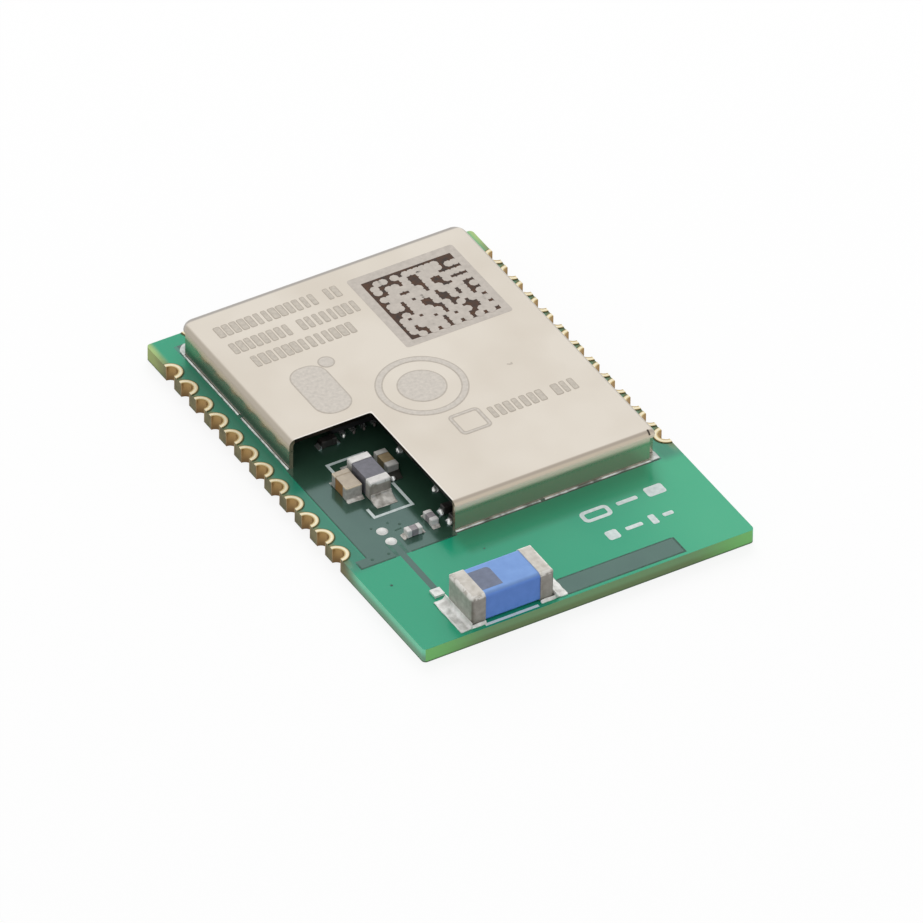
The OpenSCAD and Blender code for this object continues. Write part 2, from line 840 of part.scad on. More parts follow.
module crystal_lid() {
  color("#c9b98f")
    translate([column_x, crystal_y, board_t + standoff + crystal_h - crystal_lid_h])
      linear_extrude(crystal_lid_h)
        rounded_rect(crystal_w - 2 * crystal_ledge, crystal_l - 2 * crystal_ledge, 2 * part_edge_r);
}

module crystal_joints() {
  color("#c9ccc9") translate([column_x, crystal_y, board_t]) corner_joints(crystal_w, crystal_l);
}

module memory_chip() {
  color("#2b2b2d")
    translate([column_x, memory_y, board_t + standoff])
      linear_extrude(memory_h) rounded_rect(memory_w, memory_l, part_edge_r);
}

module memory_chip_joints() {
  color("#c9ccc9") translate([column_x, memory_y, board_t]) corner_joints(memory_w, memory_l);
}

module band_filter() {
  color("#e6e2d8") crosswise(filter_place) part_core(filter_size, wrap_t);
}

module band_filter_terminals() {
  color("#d6d5d2") crosswise(filter_place) part_ends(filter_size, filter_end_l, wrap_t, part_edge_r);
}

module choke_bodies() {
  color("#6b675f")
    for (y = chokes)
      crosswise([column_x, y]) part_core(choke_size, wrap_t);
}

module choke_terminals() {
  color("#d6d5d2")
    for (y = chokes)
      crosswise([column_x, y]) part_ends(choke_size, choke_end_l, wrap_t, part_edge_r);
}

// Places its child at each bypass capacitor beside the radio chip
module at_bypass() {
  for (i = [0 : bypass_count - 1])
    lengthwise([bypass_x, radio_y + (i - (bypass_count - 1) / 2) * bypass_pitch]) children();
}

module bypass_capacitor_bodies() {
  color("#a8947a") at_bypass() part_core(bypass_size, wrap_t);
}

module bypass_capacitor_terminals() {
  color("#d6d5d2") at_bypass() part_ends(bypass_size, capacitor_end_l, wrap_t, part_edge_r);
}

// Places its child at each small part just inside the window's edges
module at_edge_parts() {
  for (place = edge_places)
    crosswise(place) children();
}

module edge_part_bodies() {
  color("#8c7a62") at_edge_parts() part_core(small_size, wrap_t);
}

module edge_part_terminals() {
  color("#d6d5d2") at_edge_parts() part_ends(small_size, small_end_l, wrap_t, part_edge_r);
}

module inner_solder() {
  color("#c9ccc9") {
    at_edge_parts() end_fillets(small_size, small_fillet);
    at_bypass() end_fillets(bypass_size, small_fillet);
    for (y = chokes)
      crosswise([column_x, y]) end_fillets(choke_size, small_fillet);
    crosswise(filter_place) end_fillets(filter_size, small_fillet);
  }
}

circuit_board();
left_edge_pads();
right_edge_pads();
back_edge_pads();
ground_copper();
feed_trace();
antenna_tail();
shield_can();
shield_solder();
antenna_body();
antenna_terminals();
antenna_solder();
matching_inductor_body();
matching_inductor_terminals();
left_capacitor_body();
left_capacitor_terminals();
right_capacitor_body();
right_capacitor_terminals();
tuning_part_bodies();
tuning_part_terminals();
window_solder();
test_pads();
radio_chip();
radio_chip_joints();
crystal_base();
crystal_lid();
crystal_joints();
memory_chip();
memory_chip_joints();
band_filter();
band_filter_terminals();
choke_bodies();
choke_terminals();
bypass_capacitor_bodies();
bypass_capacitor_terminals();
edge_part_bodies();
edge_part_terminals();
inner_solder();
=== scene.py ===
import json
import math

import bmesh
import bpy
from mathutils import Matrix, Vector, noise

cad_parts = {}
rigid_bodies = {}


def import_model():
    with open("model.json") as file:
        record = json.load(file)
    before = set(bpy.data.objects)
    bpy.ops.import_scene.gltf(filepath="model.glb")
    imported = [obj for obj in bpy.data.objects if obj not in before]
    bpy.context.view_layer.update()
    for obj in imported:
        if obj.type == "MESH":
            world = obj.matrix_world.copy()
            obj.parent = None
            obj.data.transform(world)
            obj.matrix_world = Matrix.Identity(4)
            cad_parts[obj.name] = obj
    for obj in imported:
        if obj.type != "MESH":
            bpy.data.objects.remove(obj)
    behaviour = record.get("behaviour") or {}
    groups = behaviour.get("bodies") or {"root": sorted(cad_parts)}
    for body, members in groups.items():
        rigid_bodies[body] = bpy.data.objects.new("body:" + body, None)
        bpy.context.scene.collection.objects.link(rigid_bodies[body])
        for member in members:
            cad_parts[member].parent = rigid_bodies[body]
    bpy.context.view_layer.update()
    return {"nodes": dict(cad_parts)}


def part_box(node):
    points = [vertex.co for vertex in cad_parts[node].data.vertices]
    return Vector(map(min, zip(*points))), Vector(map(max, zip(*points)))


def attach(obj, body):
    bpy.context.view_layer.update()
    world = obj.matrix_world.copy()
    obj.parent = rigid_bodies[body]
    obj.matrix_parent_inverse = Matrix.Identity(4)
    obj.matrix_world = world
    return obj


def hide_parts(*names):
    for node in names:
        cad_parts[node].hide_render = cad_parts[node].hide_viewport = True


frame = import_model()
cadNodes = frame["nodes"]
mm = 0.001
scene = bpy.context.scene


def tone(r, g, b):
    # screen colour 0-255 to the linear colour that a socket takes
    def flat(v):
        v = v / 255
        return v / 12.92 if v <= 0.04045 else ((v + 0.055) / 1.055) ** 2.4
    return (flat(r), flat(g), flat(b), 1.0)


def metres(*values):
    return [v * mm for v in values]


class Nodes:
    # a node tree with short ways to add nodes and do sums
    def __init__(self, tree):
        self.tree = tree

    def add(self, kind, inputs=None, **settings):
        node = self.tree.nodes.new(kind)
        for key, value in settings.items():
            setattr(node, key, value)
        for key, value in (inputs or {}).items():
            self.feed(node.inputs[key], value)
        return node

    def feed(self, target, value):
        # a socket takes a link or a constant
        if isinstance(value, bpy.types.NodeSocket):
            self.tree.links.new(value, target)
        else:
            target.default_value = value

    def math(self, operation, a, b=0.0):
        return self.add("ShaderNodeMath", {0: a, 1: b}, operation=operation).outputs["Value"]

    def times(self, value, *others):
        for other in others:
            value = self.math("MULTIPLY", value, other)
        return value

    def plus(self, a, b):
        return self.math("ADD", a, b)

    def less(self, a, b):
        return self.math("SUBTRACT", a, b)

    def rest(self, a):
        return self.math("SUBTRACT", 1.0, a)

    def most(self, a, b):
        return self.math("MAXIMUM", a, b)

    def under(self, a, b):
        return self.math("LESS_THAN", a, b)

    def over(self, a, b):
        return self.math("GREATER_THAN", a, b)

    def mix(self, fac, a, b):
        return self.add("ShaderNodeMix", {0: fac, 6: a, 7: b}, data_type="RGBA").outputs[2]


class Shade(Nodes):
    # a Principled material on Object coordinates in mm
    def __init__(self, name):
        self.material = bpy.data.materials.new(name)
        self.material.use_nodes = True
        super().__init__(self.material.node_tree)
        self.shader = self.tree.nodes["Principled BSDF"]
        place = {"Vector": self.add("ShaderNodeTexCoord").outputs["Object"], "Scale": (1 / mm,) * 3}
        self.place = self.add("ShaderNodeMapping", place).outputs["Vector"]

    def axes(self):
        return self.add("ShaderNodeSeparateXYZ", {"Vector": self.place}).outputs[:]

    def grain(self, scale, detail=3.0):
        tex = self.add("ShaderNodeTexNoise", {"Vector": self.place, "Scale": scale, "Detail": detail})
        return tex.outputs["Fac"]

    def ramp(self, fac, stops):
        node = self.add("ShaderNodeValToRGB", {"Fac": fac})
        while len(node.color_ramp.elements) < len(stops):
            node.color_ramp.elements.new(0.5)
        for element, (at, colour) in zip(node.color_ramp.elements, stops):
            element.position = at
            element.color = colour
        return node.outputs["Color"]

    def blend(self, fac, low, high, edge=0.3):
        return self.ramp(fac, [(edge, low), (1 - edge, high)])

    def mottle(self, grain, look, key):
        return self.blend(grain, look[key + "Dark"], look[key])

    def span(self, value, a, b, c=0.0, d=1.0, smooth=True):
        limits = {"Value": value, "From Min": a, "From Max": b, "To Min": c, "To Max": d}
        kind = "SMOOTHSTEP" if smooth else "LINEAR"
        return self.add("ShaderNodeMapRange", limits, interpolation_type=kind).outputs["Result"]

    def swing(self, grain, low, high):
        # a value that follows a grain between two limits
        return self.span(grain, 0.3, 0.7, low, high)

    def below(self, value, limit, a, b, share=1.0):
        # fades in between two distances below a limit
        return self.span(value, limit - a, limit - b, 0.0, share)

    def bump(self, height, depth, strength=1.0):
        node = self.add("ShaderNodeBump", {"Height": height, "Distance": depth * mm, "Strength": strength})
        self.feed(self.shader.inputs["Normal"], node.outputs["Normal"])

    def set(self, **values):
        names = {"colour": "Base Color", "metal": "Metallic", "rough": "Roughness", "ior": "IOR",
                 "coat": "Coat Weight", "coatRough": "Coat Roughness", "coatIor": "Coat IOR",
                 "specTint": "Specular Tint"}
        for key, value in values.items():
            self.feed(self.shader.inputs[names[key]], value)
        return self.material


def speckled(name, low, high, grain, metal, rough=0.5, swing=0.08, depth=0.003, detail=3.0):
    # a finish between two screen colours, with a finer grain for its bump
    s = Shade(name)
    fac = s.grain(grain, detail)
    s.set(colour=s.blend(fac, tone(*low), tone(*high), 0.32), metal=metal,
          rough=s.swing(fac, rough - swing, rough + swing))
    if depth:
        s.bump(s.grain(grain * 1.7, detail), depth)
    return s.material


def finishes(table):
    return {name: speckled(name, *look) for name, look in table.items()}


def dress(mesh, material):
    mesh.materials.clear()
    mesh.materials.append(material)


boardLook = {
    "maskRight": (0.05, 0.43, 0.235, 1), "maskLeft": (0.018, 0.352, 0.193, 1),
    # painted shade for the strips beside the can and for the zone in front of it
    "maskBesideShade": (0.035, 0.11, 0.1, 1), "maskAheadShade": (0.004, 0.16, 0.06, 1),
    "edgeShare": 0.52, "aheadShare": 0.34, "pullShare": 0.8,
    "web": tone(142, 134, 92), "webDark": tone(100, 94, 60), "corner": tone(186, 204, 128),
    "sideHigh": tone(150, 252, 208), "sideLow": tone(140, 192, 158), "low": tone(72, 92, 60),
    "front": tone(135, 177, 126), "frontLow": tone(125, 151, 102), "frontCorner": tone(144, 226, 132),
    "maskRough": 0.17, "rough": 0.62, "halfWide": 6.375, "halfLong": 9.3, "thick": 0.55,
    "skin": 0.004, "frontSkin": 0.02,
    # where each zone fades in, from and to
    "rightX": (1.5, 6.0), "edgeGap": (0.95, 0.6), "edgeFront": (-4.9, -4.4), "edgeBack": (8.0, 7.3),
    "aheadLeft": (-2.7, -2.3), "aheadRight": (5.2, 4.7),
    "aheadFront": (-5.9, -5.55), "aheadBack": (-4.3, -4.5),
    "cornerY": (7.7, 9.0), "cornerGap": (1.1, 0.2), "sideY": (-3.9, -5.2), "sideZ": (0.15, 0.45),
    "frontZ": (0.15, 0.35), "frontX": (3.6, 6.2), "lowZ": (0.07, 0.015),
    "pullGap": (0.3, 0.05), "pullY": (-4.7, -3.9),
}


def boardMaterial():
    look = boardLook
    s = Shade("solder_mask_board")
    x, y, z = s.axes()
    fine = s.grain(2.6)
    absX = s.math("ABSOLUTE", x)
    sideGap = s.less(look["halfWide"], absX)
    onTop = s.over(z, look["thick"] - look["skin"])

    def zone(value, key, share=1.0):
        return s.span(value, *look[key], 0.0, share)
    # the green is brightest at the right edge; painted shade darkens it in front of the can and greys it in
    # the strips beside the can's walls by the edge pads
    across = s.plus(zone(x, "rightX"), s.swing(s.grain(0.3, 2.0), -0.12, 0.12))
    mask = s.blend(across, look["maskLeft"], look["maskRight"], 0.0)
    beside = s.times(zone(sideGap, "edgeGap", look["edgeShare"]), zone(y, "edgeFront"), zone(y, "edgeBack"))
    mask = s.mix(beside, mask, look["maskBesideShade"])
    ahead = s.times(zone(x, "aheadLeft"), zone(x, "aheadRight", look["aheadShare"]),
                    zone(y, "aheadFront"), zone(y, "aheadBack"), onTop)
    mask = s.mix(ahead, mask, look["maskAheadShade"])
    # laminate on the edges: olive webs, pale green towards the antenna, brighter at the rear and front
    # corners; the brightening is partly a painted glow of light through the laminate
    web = s.mottle(fine, look, "web")
    laminate = s.mix(s.times(zone(y, "cornerY"), zone(sideGap, "cornerGap")), web, look["corner"])
    sideTone = s.mix(zone(z, "sideZ"), look["sideLow"], look["sideHigh"])
    laminate = s.mix(zone(y, "sideY"), laminate, sideTone)
    frontTone = s.mix(zone(z, "frontZ"), look["frontLow"], look["front"])
    frontTone = s.mix(zone(absX, "frontX"), frontTone, look["frontCorner"])
    laminate = s.mix(s.under(y, look["frontSkin"] - look["halfLong"]), laminate, frontTone)
    laminate = s.mix(zone(z, "lowZ"), laminate, look["low"])
    # the mask covers both faces and thins out beside the plated edges
    face = s.most(onTop, s.under(z, look["skin"]))
    pulled = s.times(zone(sideGap, "pullGap", look["pullShare"]), zone(y, "pullY"))
    masked = s.times(face, s.rest(pulled))
    s.bump(fine, 0.002, 0.5)
    return s.set(colour=s.mix(masked, laminate, mask),
                 rough=s.span(masked, 0.0, 1.0, look["rough"], look["maskRough"], False))


canLook = {
    "low": tone(219, 210, 197), "high": tone(226, 218, 206), "fold": tone(180, 171, 157),
    "foldFrontShade": tone(196, 184, 166), "foldShadeLine": tone(174, 163, 150), "wall": tone(204, 193, 174),
    "footShade": tone(96, 92, 82), "leftFoot": 0.66, "lip": tone(240, 234, 226), "cut": tone(58, 52, 47),
    "cutWallReflection": tone(168, 154, 130), "rear": tone(172, 166, 160),
    "pale": tone(250, 231, 213), "paleShare": 0.85,
    "rough": 0.3, "bendRough": 0.54, "wallRough": 0.18, "wallMetal": 0.75, "leftMetal": 0.93,
    "top": 1.75, "left": -5.5, "front": -4.45, "back": 8.62, "foldR": 0.25, "cornerX": 5.04, "cornerY": 8.16,
    "windowX": -2.35, "windowY": 1.12, "lipWide": 0.05, "cutWide": 0.004, "cutIn": 0.2, "cutAhead": 0.05,
    "topSkin": 0.006, "leftSkin": 0.02,
    # mm past the start of a fold, from and to
    "foldOut": (0.07, 0.165), "foldAhead": (0.03, 0.11), "lineAhead": (0.2, 0.14), "paleAhead": (0.15, 0.2),
    # mm below the top, from and to
    "wallZ": (0.15, 0.3), "rearZ": (0.42, 0.3), "footZ": (0.6, 0.95), "downZ": (0.15, 0.4),
    "leftZ": (0.4, 0.7), "bendLow": (0.62, 0.27), "bendTop": (0.06, 0.2),
    "paleLow": (0.43, 0.27), "paleTop": (0.12, 0.2),
    # mm before the back and past the middles of the rear corners, from and to
    "rearY": (0.33, 0.22), "rearSlant": (0.28, 0.38), "slantX": 0.6, "slantY": 0.8,
}


def canMaterial():
    look = canLook
    s = Shade("satin_can_sheet")
    x, y, z = s.axes()
    absX = s.math("ABSOLUTE", x)
    onLeft = s.under(x, look["left"] + look["leftSkin"])
    fine = s.grain(9.0, 4.0)
    sideFold = -look["left"] - look["foldR"]
    frontFold = look["front"] + look["foldR"]

    def under(key, share=1.0):
        return s.below(z, look["top"], *look[key], share)

    def ahead(key, share=1.0):
        return s.below(y, frontFold, *look[key], share)

    def nearWindow(gap):
        return s.times(s.under(x, look["windowX"] + gap), s.under(y, look["windowY"] + gap))
    # painted shade: the folds are darker than the top, with a darker painted line where the front one starts
    colour = s.blend(s.grain(0.35, 2.0), look["low"], look["high"], 0.35)
    start, end = look["foldOut"]
    colour = s.mix(s.span(absX, sideFold + start, sideFold + end), colour, look["fold"])
    foldShadeTone = s.mix(ahead("lineAhead"), look["foldFrontShade"], look["foldShadeLine"])
    colour = s.mix(ahead("foldAhead"), colour, foldShadeTone)
    colour = s.mix(under("wallZ"), colour, look["wall"])
    # painted shade: a dark line along the rear fold and round its corners, and a dark foot on the left
    slant = s.plus(s.times(s.less(y, look["cornerY"]), look["slantY"]),
                   s.times(s.less(absX, look["cornerX"]), look["slantX"]))
    rear = s.most(s.below(y, look["back"], *look["rearY"]), s.span(slant, *look["rearSlant"]))
    colour = s.mix(s.times(rear, under("rearZ")), colour, look["rear"])
    colour = s.mix(s.times(onLeft, under("footZ", look["leftFoot"])), colour, look["footShade"])
    # a painted highlight round the window over its cut edge; the cut edge has painted shade under the top
    # and a pale painted reflection down the walls
    isTop = s.over(z, look["top"] - look["topSkin"])
    colour = s.mix(s.times(nearWindow(look["lipWide"]), isTop), colour, look["lip"])
    onWall = s.most(s.under(x, look["left"] + look["cutIn"]), s.under(y, frontFold - look["cutAhead"]))
    cut = s.mix(onWall, look["cut"], look["cutWallReflection"])
    colour = s.mix(s.times(nearWindow(look["cutWide"]), s.rest(isTop)), colour, cut)
    # rough where the fold meets the wall, smoother and less like bare metal down the wall
    down = under("downZ")
    bend = s.times(under("bendLow"), under("bendTop"))
    isLeft = s.times(onLeft, under("leftZ"))
    mirror = s.span(isLeft, 0.0, 1.0, look["wallMetal"], look["leftMetal"], False)
    dull = s.times(down, s.rest(mirror), s.rest(bend))
    rough = s.span(down, 0.0, 1.0, look["rough"], look["wallRough"], False)
    rough = s.most(s.plus(s.swing(fine, -0.02, 0.03), rough), s.times(bend, look["bendRough"]))
    # a painted highlight keeps the front wall pale for a little below its fold
    pale = s.times(under("paleLow"), under("paleTop"), ahead("paleAhead", look["paleShare"]))
    s.bump(fine, 0.0012, 0.6)
    return s.set(colour=s.mix(pale, colour, look["pale"]), rough=rough,
                 metal=s.times(s.rest(dull), s.rest(pale)))


padLook = {
    "pitch": 1.016, "sideFirst": 7.63, "sideCount": 12, "backCount": 10, "hole": 0.26, "ring": 0.43,
    # the half hole's wall is darker towards its bottom, painted shade
    "boreLow": tone(120, 92, 54), "boreHigh": tone(176, 142, 88), "boreZ": (0.0, 0.5), "rimZ": (0.53, 0.56),
    # painted highlight and shade of a rounded rim: tones from the hole out to the ring's edge
    "rings": [(0.0, tone(168, 138, 84)), (0.22, tone(216, 196, 146)), (0.5, tone(248, 240, 214)),
              (0.78, tone(238, 224, 186)), (1.0, tone(186, 162, 112))],
}
backFirst = -(padLook["backCount"] - 1) / 2 * padLook["pitch"]


def goldMaterial():
    look = padLook
    s = Shade("gold_flash_pads")
    x, y, z = s.axes()
    fine = s.grain(6.0)

    def holeRadius(along, first, inward):
        # distance from the middle of the nearest half hole of a row
        step = s.math("DIVIDE", s.less(along, first), look["pitch"])
        nearest = s.less(s.math("FRACT", s.plus(step, 100.5)), 0.5)  # 100 steps more keep it above zero
        off = s.times(nearest, look["pitch"])
        return s.math("SQRT", s.plus(s.times(off, off), s.times(inward, inward)))
    sideR = holeRadius(y, look["sideFirst"], s.less(boardLook["halfWide"], s.math("ABSOLUTE", x)))
    backR = holeRadius(x, backFirst, s.less(boardLook["halfLong"], y))
    across = s.span(s.math("MINIMUM", sideR, backR), look["hole"], look["ring"], 0.0, 1.0, False)
    # painted shade down the half hole and a painted highlight across the ring
    bore = s.mix(s.span(z, *look["boreZ"]), look["boreLow"], look["boreHigh"])
    s.bump(fine, 0.004, 0.5)
    return s.set(colour=s.mix(s.span(z, *look["rimZ"]), bore, s.ramp(across, look["rings"])), metal=0.6,
                 rough=s.swing(fine, 0.3, 0.4))


copperLook = {"low": (0.030, 0.076, 0.049, 1), "high": (0.038, 0.090, 0.059, 1), "rough": 0.16,
              "swing": 0.03, "coatRough": 0.13, "coatIor": 1.64, "specTint": (0.05, 0.95, 1.0, 1),
              "border": (0.02, 0.2, 0.12, 1), "borderX": 5.5, "borderY": 1.12}


def copperMaterial():
    # copper under the mask, greener where it borders the can
    look = copperLook
    s = Shade("masked_copper")
    drift = s.grain(0.7, 2.0)
    x, y = s.axes()[:2]
    beside = s.times(s.under(x, -look["borderX"]), s.over(y, look["borderY"]))
    beside = s.most(beside, s.over(x, look["borderX"]))
    copper = s.blend(drift, look["low"], look["high"], 0.35)
    s.bump(s.grain(3.5), 0.0015, 0.5)
    return s.set(colour=s.mix(beside, copper, look["border"]),
                 rough=s.swing(drift, look["rough"] - look["swing"], look["rough"] + look["swing"]),
                 coat=1.0, coatRough=look["coatRough"], coatIor=look["coatIor"], specTint=look["specTint"])


filletLook = {"low": tone(150, 145, 136), "high": tone(226, 223, 216), "shade": tone(62, 60, 55),
              "shadeX": (-3.05, -2.95), "shadeY": (-1.5, -1.4)}


def filletMaterial():
    # mottled tin, in shade beside the can
    s = Shade("fillet_tin")
    x, y = s.axes()[:2]
    fine = s.grain(4.5)
    shade = s.times(s.span(x, *filletLook["shadeX"]), s.span(y, *filletLook["shadeY"]))
    colour = s.blend(fine, filletLook["low"], filletLook["high"], 0.34)
    s.bump(s.grain(6.0), 0.008, 0.7)
    return s.set(colour=s.mix(shade, colour, filletLook["shade"]), metal=0.35,
                 rough=s.swing(fine, 0.3, 0.45))


capLook = {"top": tone(192, 180, 162), "topDark": tone(176, 163, 146), "side": tone(172, 126, 74),
           "sideDark": tone(144, 100, 52), "edge": tone(226, 210, 184), "end": tone(200, 196, 190),
           "endDark": tone(164, 160, 154), "height": 1.1, "fade": (0.07, 0.04), "grain": 5.0,
           "edgeFade": (0.07, 0.035), "tanFade": (0.008, 0.001), "depth": 0.005, "rough": (0.42, 0.56),
           "ior": 1.5}
antennaLook = {"top": tone(133, 169, 226), "topDark": tone(124, 159, 217), "side": tone(118, 162, 246),
               "sideDark": tone(110, 154, 238), "height": 1.75, "fade": (0.12, 0.04), "grain": 3.0,
               "depth": 0.003, "rough": (0.36, 0.44), "ior": 1.25}


def bodyMaterial(name, look):
    # ceramic, paler on top and deeper down its sides, partly its own tone and partly painted light and shade
    s = Shade(name)
    z = s.axes()[2]
    fine = s.grain(look["grain"])
    top = s.mottle(fine, look, "top")
    side = s.mottle(fine, look, "side")
    s.bump(fine, look["depth"], 0.6)
    return s.set(colour=s.mix(s.below(z, look["height"], *look["fade"]), side, top), ior=look["ior"],
                 rough=s.swing(fine, *look["rough"]))


def capacitorEndMaterial():
    # tanned on top like the body, cream along the rounded edge as a painted highlight, and tinned on the
    # faces
    s = Shade("tan_plated_end")
    z = s.axes()[2]
    fine = s.grain(6.0, 4.0)
    top = s.mottle(fine, capLook, "top")
    end = s.mottle(fine, capLook, "end")
    colour = s.mix(s.below(z, capLook["height"], *capLook["edgeFade"]), end, capLook["edge"])
    s.bump(fine, 0.006, 0.6)
    return s.set(colour=s.mix(s.below(z, capLook["height"], *capLook["tanFade"]), colour, top),
                 metal=0.1, rough=s.swing(fine, 0.38, 0.52))


endLook = {"top": tone(220, 215, 207), "topDark": tone(192, 186, 175), "side": tone(194, 193, 184),
           "sideDark": tone(160, 159, 149), "front": tone(180, 175, 168), "frontDark": tone(146, 140, 131),
           "darkEdge": tone(96, 84, 74), "darkEdgeShare": 0.8, "rim": tone(240, 237, 230),
           "height": 1.75, "frontY": -9.05, "middleX": -2.82, "halfX": 1.6}
coilEndLook = {"top": tone(232, 230, 227), "topDark": tone(210, 207, 203), "side": tone(188, 184, 178),
               "sideDark": tone(160, 155, 148), "front": tone(176, 171, 163),
               "frontDark": tone(148, 142, 133), "darkEdge": tone(110, 104, 96), "darkEdgeShare": 0.4,
               "rim": tone(240, 238, 235), "height": 1.3, "frontY": -1.7, "middleX": -3.6, "halfX": 0.4}

# of both, in mm below the top, behind the front or in from the sides, from and to
plateLook = {"topZ": (0.25, 0.04), "frontZ": (0.02, 0.1), "rimLow": (0.16, 0.09), "rimTop": (0.003, 0.02),
             "darkEdgeZ": (0.1, 0.22), "frontY": (0.05, 0.01), "darkEdgeY": (0.1, 0.04), "darkEdgeX": (0.14, 0.04)}


def platedMaterial(name, look):
    # sintered ends, paler on top than on the faces as painted light and shade, darker along the upright
    # front edges
    s = Shade(name)
    x, y, z = s.axes()
    fine = s.grain(5.0, 4.0)

    def under(key):
        return s.below(z, look["height"], *plateLook[key])

    def behind(key):
        start, end = plateLook[key]
        return s.span(y, look["frontY"] + start, look["frontY"] + end)
    colour = s.mix(under("topZ"), s.mottle(fine, look, "side"), s.mottle(fine, look, "top"))
    front = s.times(behind("frontY"), under("frontZ"))
    colour = s.mix(front, colour, s.mottle(fine, look, "front"))
    # a painted highlight along the rounded top edges
    rim = s.times(under("rimLow"), under("rimTop"), s.span(fine, 0.35, 0.5))
    colour = s.mix(rim, colour, look["rim"])
    off = s.math("ABSOLUTE", s.less(x, look["middleX"]))
    upright = s.below(off, look["halfX"], *plateLook["darkEdgeX"])
    edge = s.times(upright, behind("darkEdgeY"), under("darkEdgeZ"), look["darkEdgeShare"])
    s.bump(fine, 0.008, 0.7)
    return s.set(colour=s.mix(edge, colour, look["darkEdge"]), metal=0.08, rough=s.swing(fine, 0.4, 0.55))


seamLook = {"low": tone(112, 118, 110), "side": tone(182, 187, 183), "high": tone(226, 229, 226),
            "evenY": (-4.35, -4.15), "evenX": (5.25, 5.4)}


def seamMaterial():
    # broken along the front, even along the sides and at its ends
    s = Shade("seam_tin")
    x, y = s.axes()[:2]
    fac = s.grain(2.6)
    even = s.most(s.span(y, *seamLook["evenY"]), s.span(x, *seamLook["evenX"]))
    low = s.mix(even, seamLook["low"], seamLook["side"])
    s.bump(s.grain(4.4), 0.008)
    return s.set(colour=s.mix(s.span(fac, 0.34, 0.66), low, seamLook["high"]), metal=0.7,
                 rough=s.swing(fac, 0.28, 0.4))


print("materials")
# two screen colours, scale of the grain, metal, roughness and its swing, depth of the bump, detail
chipLook = {
    # the first tin paints glints on the small solder beads; the shaded tins below are painted shade
    "bright_bead_tin": ((240, 240, 236), (250, 250, 248), 4.0, 0.6, 0.25, 0.05, 0.003),
    "shaded_toe_tin": ((84, 78, 76), (112, 104, 100), 4.0, 0.3, 0.35, 0.06, 0.003),
    "test_pad_tin": ((226, 226, 222), (242, 242, 238), 4.0, 0.1, 0.35, 0.05, 0.004),
    "land_tin": ((196, 195, 190), (250, 250, 247), 3.2, 0.3, 0.38, 0.08, 0.014),
    "solder_tin": ((196, 199, 199), (218, 220, 219), 4.0, 0.8, 0.3, 0.06, 0.006),
    "bright_end_tin": ((210, 207, 203), (232, 230, 227), 6.0, 0.05, 0.4, 0.08, 0.006, 4.0),
    "plated_end_tin": ((190, 186, 180), (214, 210, 206), 6.0, 0.08, 0.42, 0.08, 0.006, 4.0),
    "shaded_end_tin": ((40, 38, 36), (58, 55, 52), 6.0, 0.1, 0.45, 0.08, 0.006, 4.0),
    # toned down in part as painted shade: the right capacitor's ends here and its brown ceramic, and the
    # edge parts' dark ceramic
    "small_end_tin": ((176, 174, 168), (200, 198, 194), 6.0, 0.2, 0.42, 0.08, 0.006, 4.0),
    "inductor_slate_ceramic": ((101, 101, 108), (119, 118, 126), 6.0, 0.0, 0.45, 0.08, 0.005),
    "brown_ceramic": ((134, 116, 84), (156, 138, 106), 5.0, 0.0, 0.5, 0.08, 0.006),
    "grey_ceramic": ((136, 130, 134), (162, 156, 158), 5.0, 0.0, 0.5, 0.08, 0.006),
    "dark_ceramic": ((34, 32, 31), (48, 46, 44), 5.0, 0.0, 0.5, 0.08, 0.006),
    "filter_ceramic": ((192, 190, 180), (212, 210, 202), 4.0, 0.0, 0.55, 0.08, 0.006),
    "choke_ferrite": ((52, 50, 50), (72, 70, 68), 6.0, 0.0, 0.6, 0.08, 0.01),
    "crystal_ceramic": ((168, 158, 142), (188, 178, 162), 4.0, 0.0, 0.55, 0.08, 0.006),
    "crystal_lid": ((198, 196, 190), (214, 212, 206), 4.0, 1.0, 0.3, 0.06, 0.003),
    "chip_resin": ((30, 30, 32), (44, 44, 46), 9.0, 0.0, 0.5, 0.08, 0.008),
}
chips = finishes(chipLook)
wearers = [
    (boardMaterial(), ["circuit_board"]), (canMaterial(), ["shield_can"]),
    (goldMaterial(), ["left_edge_pads", "right_edge_pads", "back_edge_pads"]),
    (copperMaterial(), ["ground_copper", "feed_trace", "antenna_tail"]),
    (chips["solder_tin"], ["shield_solder", "antenna_solder", "window_solder", "inner_solder",
                           "radio_chip_joints", "crystal_joints", "memory_chip_joints"]),
    (chips["test_pad_tin"], ["test_pads"]),
    (platedMaterial("antenna_plated_end", endLook), ["antenna_terminals"]),
    (platedMaterial("inductor_plated_end", coilEndLook), ["matching_inductor_terminals"]),
    (capacitorEndMaterial(), ["left_capacitor_terminals"]),
    (chips["bright_end_tin"], ["tuning_part_terminals"]),
    (chips["plated_end_tin"], ["band_filter_terminals", "choke_terminals", "bypass_capacitor_terminals"]),
    (chips["small_end_tin"], ["right_capacitor_terminals"]),
    (chips["shaded_end_tin"], ["edge_part_terminals"]),
    (bodyMaterial("antenna_blue_ceramic", antennaLook), ["antenna_body"]),
    (chips["inductor_slate_ceramic"], ["matching_inductor_body"]),
    (bodyMaterial("tan_ceramic", capLook), ["left_capacitor_body", "bypass_capacitor_bodies"]),
    (chips["brown_ceramic"], ["right_capacitor_body"]), (chips["grey_ceramic"], ["tuning_part_bodies"]),
    (chips["dark_ceramic"], ["edge_part_bodies"]), (chips["filter_ceramic"], ["band_filter"]),
    (chips["choke_ferrite"], ["choke_bodies"]), (chips["crystal_ceramic"], ["crystal_base"]),
    (chips["crystal_lid"], ["crystal_lid"]), (chips["chip_resin"], ["radio_chip", "memory_chip"]),
]
for material, names in wearers:
    for name in names:
        dress(cadNodes[name].data, material)


def addObject(name, data):
    made = bpy.data.objects.new(name, data)
    scene.collection.objects.link(made)
    return made


